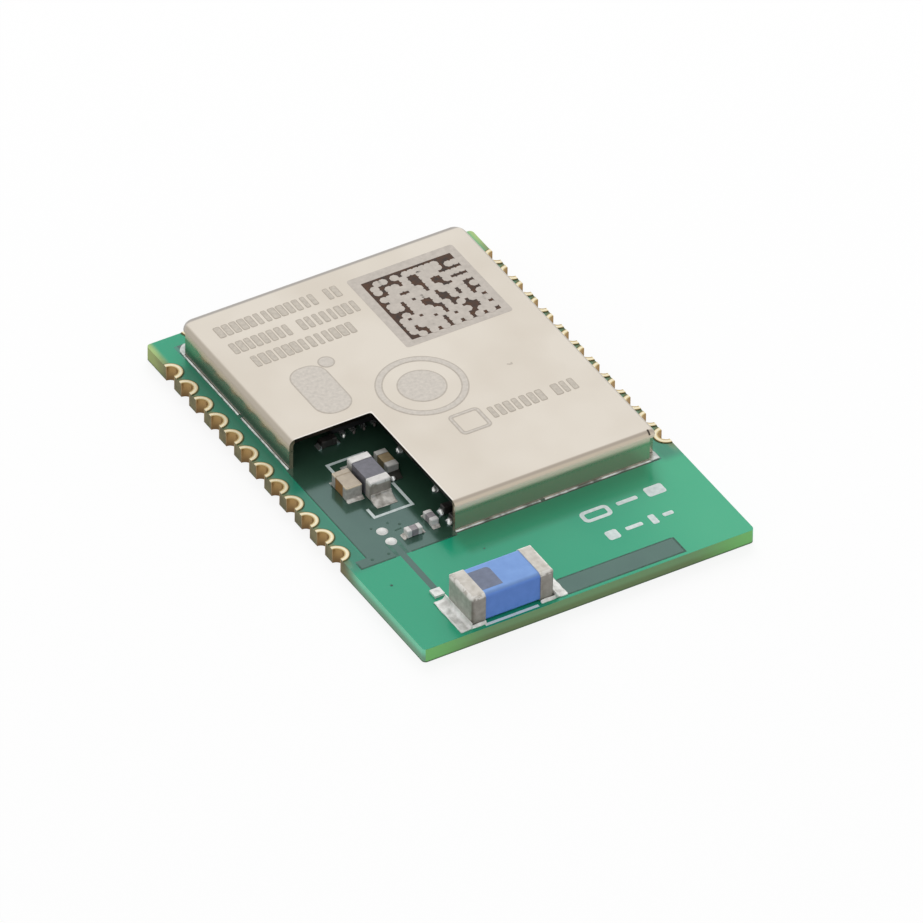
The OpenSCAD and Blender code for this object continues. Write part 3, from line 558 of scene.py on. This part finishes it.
def addPiece(name, mesh, material=None, stands=()):
    piece = addObject(name, mesh)
    if material:
        dress(mesh, material)
    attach(piece, "root")
    if stands:
        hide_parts(*stands)
    return piece


def takeMesh(form, name):
    mesh = bpy.data.meshes.new(name)
    form.to_mesh(mesh)
    form.free()
    return mesh


def settle(holder):
    # what a holder's modifiers make, as a plain mesh; the holder goes
    graph = bpy.context.evaluated_depsgraph_get()
    mesh = bpy.data.meshes.new_from_object(holder.evaluated_get(graph), preserve_all_data_layers=True,
                                           depsgraph=graph)
    holder.modifiers.clear()
    bpy.data.objects.remove(holder)
    return mesh


def addPlates(name, outlines, material, level, rise, sink=0.004):
    # closed thin plates on a face, from outlines in mm, each a list of points or a pair of rings
    form = bmesh.new()
    for outline in outlines:
        rings = outline if isinstance(outline, tuple) else (outline,)
        tops, lows = [], []
        for points in rings:
            tops.append([form.verts.new((px * mm, py * mm, (level + rise) * mm)) for px, py in points])
            lows.append([form.verts.new((px * mm, py * mm, (level - sink) * mm)) for px, py in points])
        count = len(rings[0])
        sides = [(i, (i + 1) % count) for i in range(count)]
        if len(rings) == 1:
            form.faces.new(tops[0])
            form.faces.new(lows[0][::-1])
        else:
            for i, j in sides:
                form.faces.new((tops[0][i], tops[0][j], tops[1][j], tops[1][i]))
                form.faces.new((lows[0][j], lows[0][i], lows[1][i], lows[1][j]))
        for k, (top, low) in enumerate(zip(tops, lows)):
            for i, j in sides:
                if k:
                    i, j = j, i  # the wall of an opening faces inwards
                form.faces.new((low[i], low[j], top[j], top[i]))
    return addPiece(name, takeMesh(form, name), material)


def arc(cx, cy, r, start, end, steps):
    angles = [math.radians(start + (end - start) * i / steps) for i in range(steps + 1)]
    return [(cx + r * math.cos(a), cy + r * math.sin(a)) for a in angles]


def roundRect(x0, x1, y0, y1, r, steps=6):
    corners = ((x1 - r, y1 - r, 0), (x0 + r, y1 - r, 90), (x0 + r, y0 + r, 180), (x1 - r, y0 + r, 270))
    return [point for cx, cy, start in corners for point in arc(cx, cy, r, start, start + 90, steps)]


def circle(cx, cy, r, steps=48):
    return arc(cx, cy, r, 0, 360, steps)[:-1]


def lineBand(path, w):
    # outline of a line of one width with mitred bends
    points = [Vector(p) for p in path]
    left, right = [], []
    for i, p in enumerate(points):
        into = (p - points[i - 1]).normalized() if i else (points[1] - p).normalized()
        away = (points[i + 1] - p).normalized() if i + 1 < len(points) else into
        side = Vector((-into.y, into.x))
        mitre = (side + Vector((-away.y, away.x))).normalized()
        mitre *= w / 2 / mitre.dot(side)
        left.append(p + mitre)
        right.append(p - mitre)
    return right + left[::-1]


class Tree(Nodes):
    # a Geometry Nodes tree with named inputs and their first values
    kinds = {int: "NodeSocketInt", float: "NodeSocketFloat", tuple: "NodeSocketVector",
             type(None): "NodeSocketMaterial"}

    def __init__(self, name, **inputs):
        super().__init__(bpy.data.node_groups.new(name, "GeometryNodeTree"))
        sockets = self.tree.interface
        sockets.new_socket(name="Geometry", in_out="OUTPUT", socket_type="NodeSocketGeometry")
        self.ids = {}
        for label, value in inputs.items():
            made = sockets.new_socket(name=label, in_out="INPUT", socket_type=self.kinds[type(value)])
            if value is not None:
                made.default_value = value
            self.ids[label] = made.identifier
        self.given = self.add("NodeGroupInput").outputs
        self.end = self.add("NodeGroupOutput").inputs["Geometry"]

    def line(self, step):
        where = {"Count": self.given["count"], "Start Location": self.given["place"], "Offset": step}
        return self.add("GeometryNodeMeshLine", where).outputs["Mesh"]

    def random(self, kind, inputs):
        return self.add("FunctionNodeRandomValue", inputs, data_type=kind).outputs

    def spread(self, points, shape, options):
        inputs = {"Points": points, "Instance": shape, **options}
        return self.add("GeometryNodeInstanceOnPoints", inputs).outputs["Instances"]

    def close(self, made):
        real = self.add("GeometryNodeRealizeInstances", {"Geometry": made}).outputs["Geometry"]
        paint = self.add("GeometryNodeSetMaterial", {"Geometry": real, "Material": self.given["material"]})
        self.feed(self.end, paint.outputs["Geometry"])
        return self


def grow(name, tree, values):
    # runs the tree on an empty mesh and keeps the result as a plain mesh
    holder = addObject(name + "Holder", bpy.data.meshes.new(name + "Seed"))
    modifier = holder.modifiers.new("grow", "NODES")
    modifier.node_group = tree.tree
    for label, value in values.items():
        modifier[tree.ids[label]] = value
    return addPiece(name, settle(holder))


print("can marks")
etchLook = {  # in the order of chipLook
    "etched_outline": ((186, 177, 166), (200, 192, 181), 8.0, 0.6),
    "etched_grey": ((200, 193, 184), (218, 211, 202), 8.0, 0.6),
    "etched_field": ((188, 180, 171), (206, 198, 189), 6.0, 0.6),
    "etched_row_outline": ((176, 166, 153), (190, 181, 168), 8.0, 0.6),
    "etched_row_grey": ((188, 180, 169), (210, 202, 190), 8.0, 0.6),
    "etched_dark": ((46, 33, 25), (84, 56, 38), 6.0, 0.1, 0.6),
    "slit_shadow": ((52, 44, 37), (74, 63, 53), 6.0, 0.2, 0.5, 0.08, 0.002),
}
etched = finishes(etchLook)
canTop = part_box("shield_can")[1].z / mm

cellLook = {"x": (0.75, 4.3), "y": (3.8, 7.32), "modules": 16, "swell": 1.42, "light": 0.52, "seed": 11,
            "thick": 0.006, "trim": 0.06, "groundR": 0.03, "groundRise": 0.006,
            "field": (0.45, 4.6, 3.5, 7.65), "fieldR": 0.12, "fieldRise": 0.003}


def cellTree():
    # light cells swell over a dark ground; left and back borders stay dark, the other two alternate
    t = Tree("moduleGrid", modules=16, width=0.0036, height=0.0036, swell=1.4, light=0.5, seed=1,
             place=(0, 0, 0), thick=0.000006, material=None)
    g = t.given
    pitchX = t.math("DIVIDE", g["width"], g["modules"])
    pitchY = t.math("DIVIDE", g["height"], g["modules"])
    grid = t.add("GeometryNodeMeshGrid", {
        "Size X": t.less(g["width"], pitchX), "Size Y": t.less(g["height"], pitchY),
        "Vertices X": g["modules"], "Vertices Y": g["modules"]})
    chance = t.random("BOOLEAN", {"Probability": g["light"], "Seed": g["seed"]})[3]
    spot = t.add("GeometryNodeInputPosition").outputs["Position"]
    where = t.add("ShaderNodeSeparateXYZ", {"Vector": spot}).outputs
    # cells from the middle, in modules
    column = t.math("DIVIDE", where["X"], pitchX)
    row = t.math("DIVIDE", where["Y"], pitchY)
    last = t.less(t.math("DIVIDE", g["modules"], 2.0), 1.0)
    first = t.times(last, -1.0)
    isDark = t.most(t.under(column, first), t.over(row, last))
    isBroken = t.most(t.over(column, last), t.under(row, first))
    parity = t.math("FLOORED_MODULO", t.math("ROUND", t.plus(column, row)), 2.0)
    light = t.plus(t.times(t.rest(isBroken), chance), t.times(isBroken, parity))
    kept = t.times(light, t.rest(isDark))
    # no two neighbours lie at quite the same height
    lift = t.random("FLOAT", {3: t.times(g["thick"], 0.3), "Seed": g["seed"]})[1]
    rise = t.add("ShaderNodeCombineXYZ", {"Z": lift}).outputs["Vector"]
    level = t.add("GeometryNodeSetPosition", {"Geometry": grid.outputs["Mesh"], "Offset": rise})
    radius = t.times(pitchX, g["swell"], 0.5412)  # an eight-sided tile as wide as its cell
    tile = t.add("GeometryNodeMeshCylinder", {"Vertices": 8, "Radius": radius, "Depth": g["thick"]})
    cells = t.spread(level.outputs["Geometry"], tile.outputs["Mesh"],
                     {"Selection": kept, "Rotation": (0, 0, math.radians(22.5))})
    moved = t.add("GeometryNodeTransform", {"Geometry": cells, "Translation": g["place"]})
    return t.close(moved.outputs["Geometry"])


(x0, x1), (y0, y1) = cellLook["x"], cellLook["y"]
chosen = {key: cellLook[key] for key in ("modules", "swell", "light", "seed")}
grow("etched_code_cells", cellTree(), {
    **chosen, "width": (x1 - x0) * mm, "height": (y1 - y0) * mm, "thick": cellLook["thick"] * mm,
    "material": etched["etched_field"],
    "place": metres((x0 + x1) / 2, (y0 + y1) / 2, canTop + cellLook["thick"])})
ground = roundRect(x0 + cellLook["trim"], x1, y0, y1 - cellLook["trim"], cellLook["groundR"])
addPlates("etched_code_ground", [ground], etched["etched_dark"], canTop, cellLook["groundRise"])
field = roundRect(*cellLook["field"], cellLook["fieldR"])
addPlates("etched_code_field", [field], etched["etched_field"], canTop, cellLook["fieldRise"])

markLook = {"oval": (-3.9, -2.5, 1.65, 4.35), "ovalR": 0.62, "dot": (-2.3, 4.2, 0.3),
            "disc": (-0.15, 1.5, 0.86), "ring": (-0.15, 1.5, 1.6, 1.32), "line": 0.05,
            "frame": (-0.3, 0.9, -1.5, -0.35), "frameR": 0.2, "frameWide": 0.16, "openR": 0.08,
            "rise": 0.003, "fillRise": 0.005}


def markOutlines(inset):
    # the plain marks on the can, drawn in by an inset
    def inside(key, gap, r, steps=6):
        x0, x1, y0, y1 = markLook[key]
        return roundRect(x0 + gap, x1 - gap, y0 + gap, y1 - gap, r, steps)
    dotX, dotY, dotR = markLook["dot"]
    discX, discY, discR = markLook["disc"]
    ringX, ringY, outer, inner = markLook["ring"]
    return [inside("oval", inset, markLook["ovalR"] - inset, 10), circle(dotX, dotY, dotR - inset),
            (circle(ringX, ringY, outer - inset, 64), circle(ringX, ringY, inner + inset, 64)),
            circle(discX, discY, discR - inset),
            (inside("frame", inset, markLook["frameR"] - inset),
             inside("frame", markLook["frameWide"] - inset, markLook["openR"]))]


addPlates("etched_marks", markOutlines(0.0), etched["etched_outline"], canTop, markLook["rise"])
addPlates("etched_mark_fills", markOutlines(markLook["line"]), etched["etched_grey"], canTop,
          markLook["fillRise"])


def rowTree():
    # a row of plain rounded bars of different widths, some places left empty
    t = Tree("barRow", count=8, pitch=0.0005, width=0.0004, height=0.0006, corner=0.00006, inset=0.0,
             least=0.55, kept=0.85, seed=1, place=(0, 0, 0), thick=0.000007, material=None)
    g = t.given
    step = t.add("ShaderNodeCombineXYZ", {"X": g["pitch"]}).outputs["Vector"]
    margin = t.times(g["inset"], 2.0)
    quad = t.add("GeometryNodeCurvePrimitiveQuadrilateral",
                 {"Width": t.less(g["width"], margin), "Height": t.less(g["height"], margin)})
    corners = {"Curve": quad.outputs["Curve"], "Count": 4, "Radius": t.less(g["corner"], g["inset"])}
    soft = t.add("GeometryNodeFilletCurve", corners, mode="POLY")
    face = t.add("GeometryNodeFillCurve", {"Curve": soft.outputs["Curve"]}).outputs["Mesh"]
    # the face raised to a plate, closed below by the same face turned over
    plate = t.add("GeometryNodeExtrudeMesh", {"Mesh": face, "Offset Scale": g["thick"], "Individual": False})
    under = t.add("GeometryNodeFlipFaces", {"Mesh": face})
    both = t.add("GeometryNodeJoinGeometry")
    for part in (under, plate):
        t.feed(both.inputs["Geometry"], part.outputs["Mesh"])
    weld = t.add("GeometryNodeMergeByDistance", {"Geometry": both.outputs["Geometry"], "Distance": 1e-7})
    vary = t.random("FLOAT", {2: g["least"], 3: 1.0, "Seed": g["seed"]})[1]
    scale = t.add("ShaderNodeCombineXYZ", {"X": vary, "Y": 1.0, "Z": 1.0}).outputs["Vector"]
    pick = t.random("BOOLEAN", {"Probability": g["kept"], "Seed": t.plus(g["seed"], 7)})[3]
    return t.close(t.spread(t.line(step), weld.outputs["Geometry"], {"Selection": pick, "Scale": scale}))


# first bar, last bar, middle of the row, number of bars, seed
rowLook = {"etched_row_back": (-4.62, -0.1, 7.35, 16, 3), "etched_row_middle": (-4.62, 0.05, 6.35, 17, 5),
           "etched_row_front": (-4.62, -0.65, 5.4, 14, 8), "etched_row_low": (1.2, 4.3, -0.9, 11, 2)}
barLook = {"tall": 0.62, "share": 0.92, "corner": 0.07, "least": 0.6, "kept": 0.86, "thick": 0.006,
           "sink": 0.003, "line": 0.035, "fillRise": 0.002}
bars = rowTree()
for name, (xa, xb, ym, count, seed) in rowLook.items():
    pitch = (xb - xa) / (count - 1)
    for part, inset, lift, tint in (("", 0.0, 0.0, "etched_row_outline"),
                                    ("_fill", barLook["line"], barLook["fillRise"], "etched_row_grey")):
        grow(name + part, bars, {
            "count": count, "pitch": pitch * mm, "width": pitch * barLook["share"] * mm,
            "height": barLook["tall"] * mm, "corner": barLook["corner"] * mm, "inset": inset * mm,
            "least": barLook["least"], "kept": barLook["kept"], "seed": seed,
            "thick": barLook["thick"] * mm, "material": etched[tint],
            "place": metres(xa, ym, canTop + lift - barLook["sink"])})

slitLook = {"x0": 5.17, "x1": 5.235, "from": 12, "to": 62, "steps": 8, "low": 0.244, "high": 0.2535}


def slitMesh():
    # a thin dark strip of painted shadow that follows the front fold
    look = slitLook
    form = bmesh.new()
    rings = []
    for i in range(look["steps"] + 1):
        a = math.radians(look["from"] + (look["to"] - look["from"]) * i / look["steps"])
        ring = []
        for px, r in (("x0", "low"), ("x1", "low"), ("x1", "high"), ("x0", "high")):
            py = canLook["front"] + canLook["foldR"] - look[r] * math.sin(a)
            pz = canLook["top"] - canLook["foldR"] + look[r] * math.cos(a)
            ring.append(form.verts.new((look[px] * mm, py * mm, pz * mm)))
        rings.append(ring)
    for one, two in zip(rings, rings[1:]):
        for i in range(4):
            j = (i + 1) % 4
            form.faces.new((one[i], one[j], two[j], two[i]))
    form.faces.new(rings[0][::-1])
    form.faces.new(rings[-1])
    bmesh.ops.recalc_face_normals(form, faces=form.faces)
    return takeMesh(form, "foldSlit")


addPiece("fold_slit", slitMesh(), etched["slit_shadow"])
scuffLook = {"rise": 0.003, "lines": [([(2.92, 1.1), (3.0, 1.04), (3.1, 1.02)], 0.05),
                                      ([(3.06, 1.1), (3.12, 1.08)], 0.03)]}
scuffs = [lineBand(*line) for line in scuffLook["lines"]]
addPlates("top_scuff", scuffs, etched["etched_outline"], canTop, scuffLook["rise"])

print("board marks")
inkLook = {  # in the order of chipLook
    "silk_ink": ((198, 210, 208), (222, 232, 230), 6.0, 0.0, 0.6),
    # a whiter copy of the ink, painted light
    "silk_white": ((232, 244, 240), (244, 252, 249), 6.0, 0.0),
    "mask_gap": ((52, 82, 56), (86, 104, 68), 5.0, 0.1, 0.4, 0.08, 0.0),
    "mask_step": ((30, 68, 56), (48, 92, 76), 5.0, 0.0, 0.3, 0.06, 0.0),
    "mask_channel": ((50, 96, 82), (66, 114, 98), 5.0, 0.0, 0.25, 0.06, 0.0),
    "antenna_patch": ((104, 112, 132), (120, 128, 149), 5.0, 0.0),
}
inks = finishes(inkLook)
boardTop = boardLook["thick"]
# lines by path and width, dots by place and radius, frames and blocks by sides and corner radius
printLook = {
    "silk_lines": {  # round the window's parts
        "ink": "silk_ink", "rise": 0.006,
        "lines": [([(-4.3, 0.21), (-4.3, 0.66), (-2.85, 0.66)], 0.11),
                  ([(-4.3, -2.0), (-4.3, -2.5), (-2.85, -2.5), (-2.85, -1.2)], 0.11)]},
    "silk_front_line": {  # in front of the antenna, in a whiter ink that is painted light
        "ink": "silk_white", "rise": 0.006, "lines": [([(-3.95, -9.16), (-1.9, -9.16)], 0.12)]},
    "mask_steps": {  # dark lines of painted shadow where the mask steps over the copper's borders, dark dots over covered vias, and two specks
        "ink": "mask_step", "rise": 0.004,
        "lines": [([(-4.72, -4.63), (-6.03, -4.63), (-6.03, -4.3)], 0.06),
                  ([(-4.14, -4.63), (-2.4, -4.63)], 0.06), ([(-5.61, -4.2), (-5.61, 0.9)], 0.042),
                  ([(-0.75, -9.14), (3.78, -9.14), (3.78, -8.32)], 0.06),
                  ([(-0.7, -8.31), (3.72, -8.31)], 0.036), ([(-4.06, -3.42), (-3.8, -3.4)], 0.06)],
        "dots": [(-5.48, -4.37, 0.055), (-4.85, -4.37, 0.055), (-4.7, -2.95, 0.045), (-4.07, -2.95, 0.045),
                 (-3.75, -3.2, 0.055), (-5.6, -5.85, 0.05), (-1.95, -5.7, 0.035)]},
    "mask_channels": {
        "ink": "mask_channel", "rise": 0.003,
        "lines": [([(-4.63, -4.65), (-4.63, -3.94), (-4.27, -3.94), (-4.27, -4.65)], 0.12)]},
    "silk_marks": {
        "ink": "silk_ink", "rise": 0.006,
        "frames": [((1.65, 2.75, -6.28, -5.68, 0.2), (1.8, 2.6, -6.13, -5.83, 0.08))],
        "blocks": [(3.05, 3.85, -5.98, -5.8, 0.06), (4.2, 4.9, -6.12, -5.62, 0.1),
                   (1.9, 2.35, -7.44, -6.96, 0.1), (2.65, 3.3, -7.26, -7.08, 0.06),
                   (3.6, 3.84, -7.42, -6.92, 0.06), (4.1, 4.5, -7.24, -7.06, 0.06)]},
}
printSink = 0.003
for name, look in printLook.items():
    outlines = [lineBand(*line) for line in look.get("lines", [])]
    outlines += [circle(*dot, 20) for dot in look.get("dots", [])]
    outlines += [tuple(roundRect(*edge) for edge in pair) for pair in look.get("frames", [])]
    outlines += [roundRect(*block) for block in look.get("blocks", [])]
    addPlates(name, outlines, inks[look["ink"]], boardTop, look["rise"], printSink)


def gapTree():
    # a row of half rings
    t = Tree("edgeArcs", count=12, step=(0, 0.001016, 0), place=(0, 0, 0), turn=0.0, radius=0.00045,
             width=0.00004, thick=0.00001, material=None)
    g = t.given
    bow = t.add("GeometryNodeCurveArc", {
        "Resolution": 28, "Radius": g["radius"], "Start Angle": 0.0, "Sweep Angle": math.pi})
    profile = t.add("GeometryNodeCurvePrimitiveQuadrilateral", {"Width": g["width"], "Height": g["thick"]})
    sweep = t.add("GeometryNodeCurveToMesh", {
        "Curve": bow.outputs["Curve"], "Profile Curve": profile.outputs["Curve"], "Fill Caps": True})
    turn = t.add("ShaderNodeCombineXYZ", {"Z": g["turn"]}).outputs["Vector"]
    turn = t.add("FunctionNodeEulerToRotation", {"Euler": turn}).outputs["Rotation"]
    return t.close(t.spread(t.line(g["step"]), sweep.outputs["Mesh"], {"Rotation": turn}))


gapLook = {"radius": 0.455, "width": 0.05, "thick": 0.006, "rise": 0.001}
gaps = gapTree()
wide, pitch = boardLook["halfWide"], padLook["pitch"]
for name, start, step, count, turn in (
        ("mask_gap_left", (-wide, padLook["sideFirst"]), (0, -pitch), padLook["sideCount"], -90),
        ("mask_gap_right", (wide, padLook["sideFirst"]), (0, -pitch), padLook["sideCount"], 90),
        ("mask_gap_back", (backFirst, boardLook["halfLong"]), (pitch, 0), padLook["backCount"], 180)):
    grow(name, gaps, {
        "count": count, "step": metres(*step, 0), "turn": math.radians(turn),
        "place": metres(*start, boardTop + gapLook["rise"]),
        "radius": gapLook["radius"] * mm, "width": gapLook["width"] * mm, "thick": gapLook["thick"] * mm,
        "material": inks["mask_gap"]})

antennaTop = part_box("antenna_body")[1].z / mm
patchLook = {"x": (-3.86, -3.06), "y": (-8.78, -7.78), "r": 0.16, "rise": 0.004}
(x0, x1), (y0, y1), r = patchLook["x"], patchLook["y"], patchLook["r"]
patch = [(x0, y0), (x1, y0), *arc(x1 - r, y1 - r, r, 0, 90, 9), (x0, y1)]  # one corner is round
addPlates("antenna_patch", [patch], inks["antenna_patch"], antennaTop, patchLook["rise"])

print("solder")
# first place, step, number, half sizes and finish of each row
# solder beads, partly real solder and partly painted glints; the dim row is painted shade
beadLook = {
    "chip_toe_bead": ((-3.05, 1.73, 0.6), (0.4, 0, 0), 1, (0.085, 0.055, 0.03), "bright_bead_tin"),
    "chip_toe_dim_beads": ((-2.65, 1.73, 0.6), (0.4, 0, 0), 3, (0.08, 0.05, 0.03), "shaded_toe_tin"),
    "pair_end_beads": ((-2.3, -4.0, 0.63), (0, 0.55, 0), 2, (0.12, 0.085, 0.04), "bright_bead_tin"),
    "single_end_beads": ((-1.88, -2.28, 0.63), (0, 2.38, 0), 2, (0.1, 0.075, 0.03), "bright_bead_tin"),
    "capacitor_end_bead": ((-2.78, -1.1, 0.62), (0, 0.5, 0), 1, (0.09, 0.09, 0.04), "bright_bead_tin"),
}
beadTurn = (0, math.radians(51), math.radians(-121))  # the beads face the open front left


def beadTree():
    t = Tree("beadRow", count=4, step=(0.0004, 0, 0), place=(0, 0, 0), size=(0.0001, 0.0001, 0.0001),
             turn=(0, 0, 0), material=None)
    g = t.given
    ball = t.add("GeometryNodeMeshIcoSphere", {"Radius": 1.0, "Subdivisions": 3})
    soft = t.add("GeometryNodeSetShadeSmooth", {"Geometry": ball.outputs["Mesh"]})
    turn = t.add("FunctionNodeEulerToRotation", {"Euler": g["turn"]}).outputs["Rotation"]
    lie = {"Scale": g["size"], "Rotation": turn}
    return t.close(t.spread(t.line(g["step"]), soft.outputs["Geometry"], lie))


beads = beadTree()
for name, (place, step, count, size, tin) in beadLook.items():
    grow(name, beads, {"count": count, "step": metres(*step), "place": metres(*place),
                       "size": metres(*size), "turn": beadTurn, "material": chips[tin]})

# in mm; flat is the share of the height that stays, corner the reach at the can's rear corners
reflowLook = {
    "seam_solder": {"node": "shield_solder", "voxel": 0.015, "rounds": 3, "swell": -0.016, "lump": 0.014,
                    "size": 0.25, "flat": 0.5, "corner": 0.58, "tin": seamMaterial()},
    "antenna_fillets": {"node": "antenna_solder", "voxel": 0.02, "rounds": 5, "swell": 0.01, "lump": 0.022,
                        "size": 0.26, "flat": 1.0, "tin": chips["land_tin"]},
    "window_fillets": {"node": "window_solder", "voxel": 0.015, "rounds": 6, "swell": 0.004, "lump": 0.02,
                       "size": 0.22, "flat": 0.62, "tin": filletMaterial()},
}


def roundCorner(p, reach):
    # draws a point beyond the can's rounded rear corners in to a reach from their middle
    out = Vector((abs(p.x) - canLook["cornerX"], p.y - canLook["cornerY"]))
    if out.x > 0 and out.y > 0 and out.length > reach:
        out *= reach / out.length
        p.x = math.copysign(canLook["cornerX"] + out.x, p.x)
        p.y = canLook["cornerY"] + out.y


def reflow(name, look):
    # a CAD solder node as a lumpy wetted bead: welded, remeshed in mm, smoothed, then pushed about by noise
    mesh = cadNodes[look["node"]].data.copy()
    mesh.transform(Matrix.Scale(1 / mm, 4))
    form = bmesh.new()
    form.from_mesh(mesh)
    bmesh.ops.remove_doubles(form, verts=form.verts, dist=0.0005)
    form.to_mesh(mesh)
    form.free()
    holder = addObject(name + "Holder", mesh)
    remesh = holder.modifiers.new("voxels", "REMESH")
    remesh.mode = "VOXEL"
    remesh.voxel_size = look["voxel"]
    remesh.use_smooth_shade = True
    smooth = holder.modifiers.new("wetting", "SMOOTH")
    smooth.factor = 0.5
    smooth.iterations = look["rounds"]
    made = settle(holder)
    made.name = name
    moves = []
    for v in made.vertices:
        lump = look["lump"] * noise.noise(v.co / look["size"])
        moves.append(v.normal * (look["swell"] + lump))
    for v, move in zip(made.vertices, moves):
        p = v.co + move
        p.z = boardTop + (p.z - boardTop) * look["flat"]
        if "corner" in look:
            roundCorner(p, look["corner"])
        v.co = p * mm
    made.update()
    return addPiece(name, made, look["tin"], [look["node"]])


for name, look in reflowLook.items():
    reflow(name, look)

print("stage")


def seenRays(net):
    # 1 for what the camera sees, straight, in a mirror or through glass
    path = net.add("ShaderNodeLightPath").outputs
    return net.most(net.most(path["Is Camera Ray"], path["Is Glossy Ray"]), path["Is Transmission Ray"])


floorLook = {"size": 0.8, "drop": 0.03, "tone": (0.35, 0.35, 0.35, 1), "seenTone": (0.98, 0.98, 0.98, 1),
             "show": 0.85}
half, low = floorLook["size"] / 2, -floorLook["drop"] * mm
floorMesh = bpy.data.meshes.new("floor")
floorMesh.from_pydata([(-half, -half, low), (half, -half, low), (half, half, low), (-half, half, low)],
                      [], [(0, 1, 2, 3)])
floor = addObject("floor", floorMesh)
floorMaterial = bpy.data.materials.new("pale_floor")
floorMaterial.use_nodes = True
net = Nodes(floorMaterial.node_tree)
net.tree.nodes.remove(net.tree.nodes["Principled BSDF"])
seen = seenRays(net)
paper = net.add("ShaderNodeBsdfDiffuse", {"Color": net.mix(seen, floorLook["tone"], floorLook["seenTone"])})
bright = net.add("ShaderNodeEmission", {"Strength": 1.0})
blend = net.add("ShaderNodeMixShader", {
    "Fac": net.times(seen, floorLook["show"]), 1: paper.outputs["BSDF"], 2: bright.outputs["Emission"]})
net.feed(net.tree.nodes["Material Output"].inputs["Surface"], blend.outputs["Shader"])
dress(floorMesh, floorMaterial)

worldLook = {"fill": 0.66, "seen": 1.0}
world = bpy.data.worlds.new("tent")
scene.world = world
world.use_nodes = True
net = Nodes(world.node_tree)
level = net.add("ShaderNodeMapRange", {
    "Value": seenRays(net), "To Min": worldLook["fill"], "To Max": worldLook["seen"]})
back = net.tree.nodes["Background"]
back.inputs["Color"].default_value = (1, 1, 1, 1)
net.feed(back.inputs["Strength"], level.outputs["Result"])

lampLook = {"size": 0.3, "place": (0.15, 0.28, 0.24), "power": 0.94}  # behind the object, to the right
lampData = bpy.data.lights.new("rearSoftbox", "AREA")
lampData.shape = "SQUARE"
lampData.size = lampLook["size"]
lampData.energy = lampLook["power"]
lamp = addObject("rearSoftbox", lampData)
lamp.location = lampLook["place"]
lamp.rotation_euler = Vector(lampLook["place"]).to_track_quat("Z", "Y").to_euler()
lamp.visible_glossy = False
lamp.visible_camera = False

cameraLook = {"lens": 587.0, "place": (-0.20124, -0.33743, 0.31679), "right": (0.86225, -0.5064, 0.00978),
              "up": (0.31164, 0.54566, 0.7779), "back": (-0.39926, -0.66769, 0.62831)}
cameraData = bpy.data.cameras.new("photoView")
cameraData.sensor_width = 36.0
cameraData.lens = cameraLook["lens"]
cameraData.clip_start = 0.05
cameraData.clip_end = 5.0
camera = addObject("photoView", cameraData)
columns = [Vector(cameraLook[key]) for key in ("right", "up", "back", "place")]
camera.matrix_world = Matrix([[column[i] for column in columns] for i in range(3)] + [[0, 0, 0, 1]])
scene.camera = camera
scene.view_settings.view_transform = "Standard"

print("done")
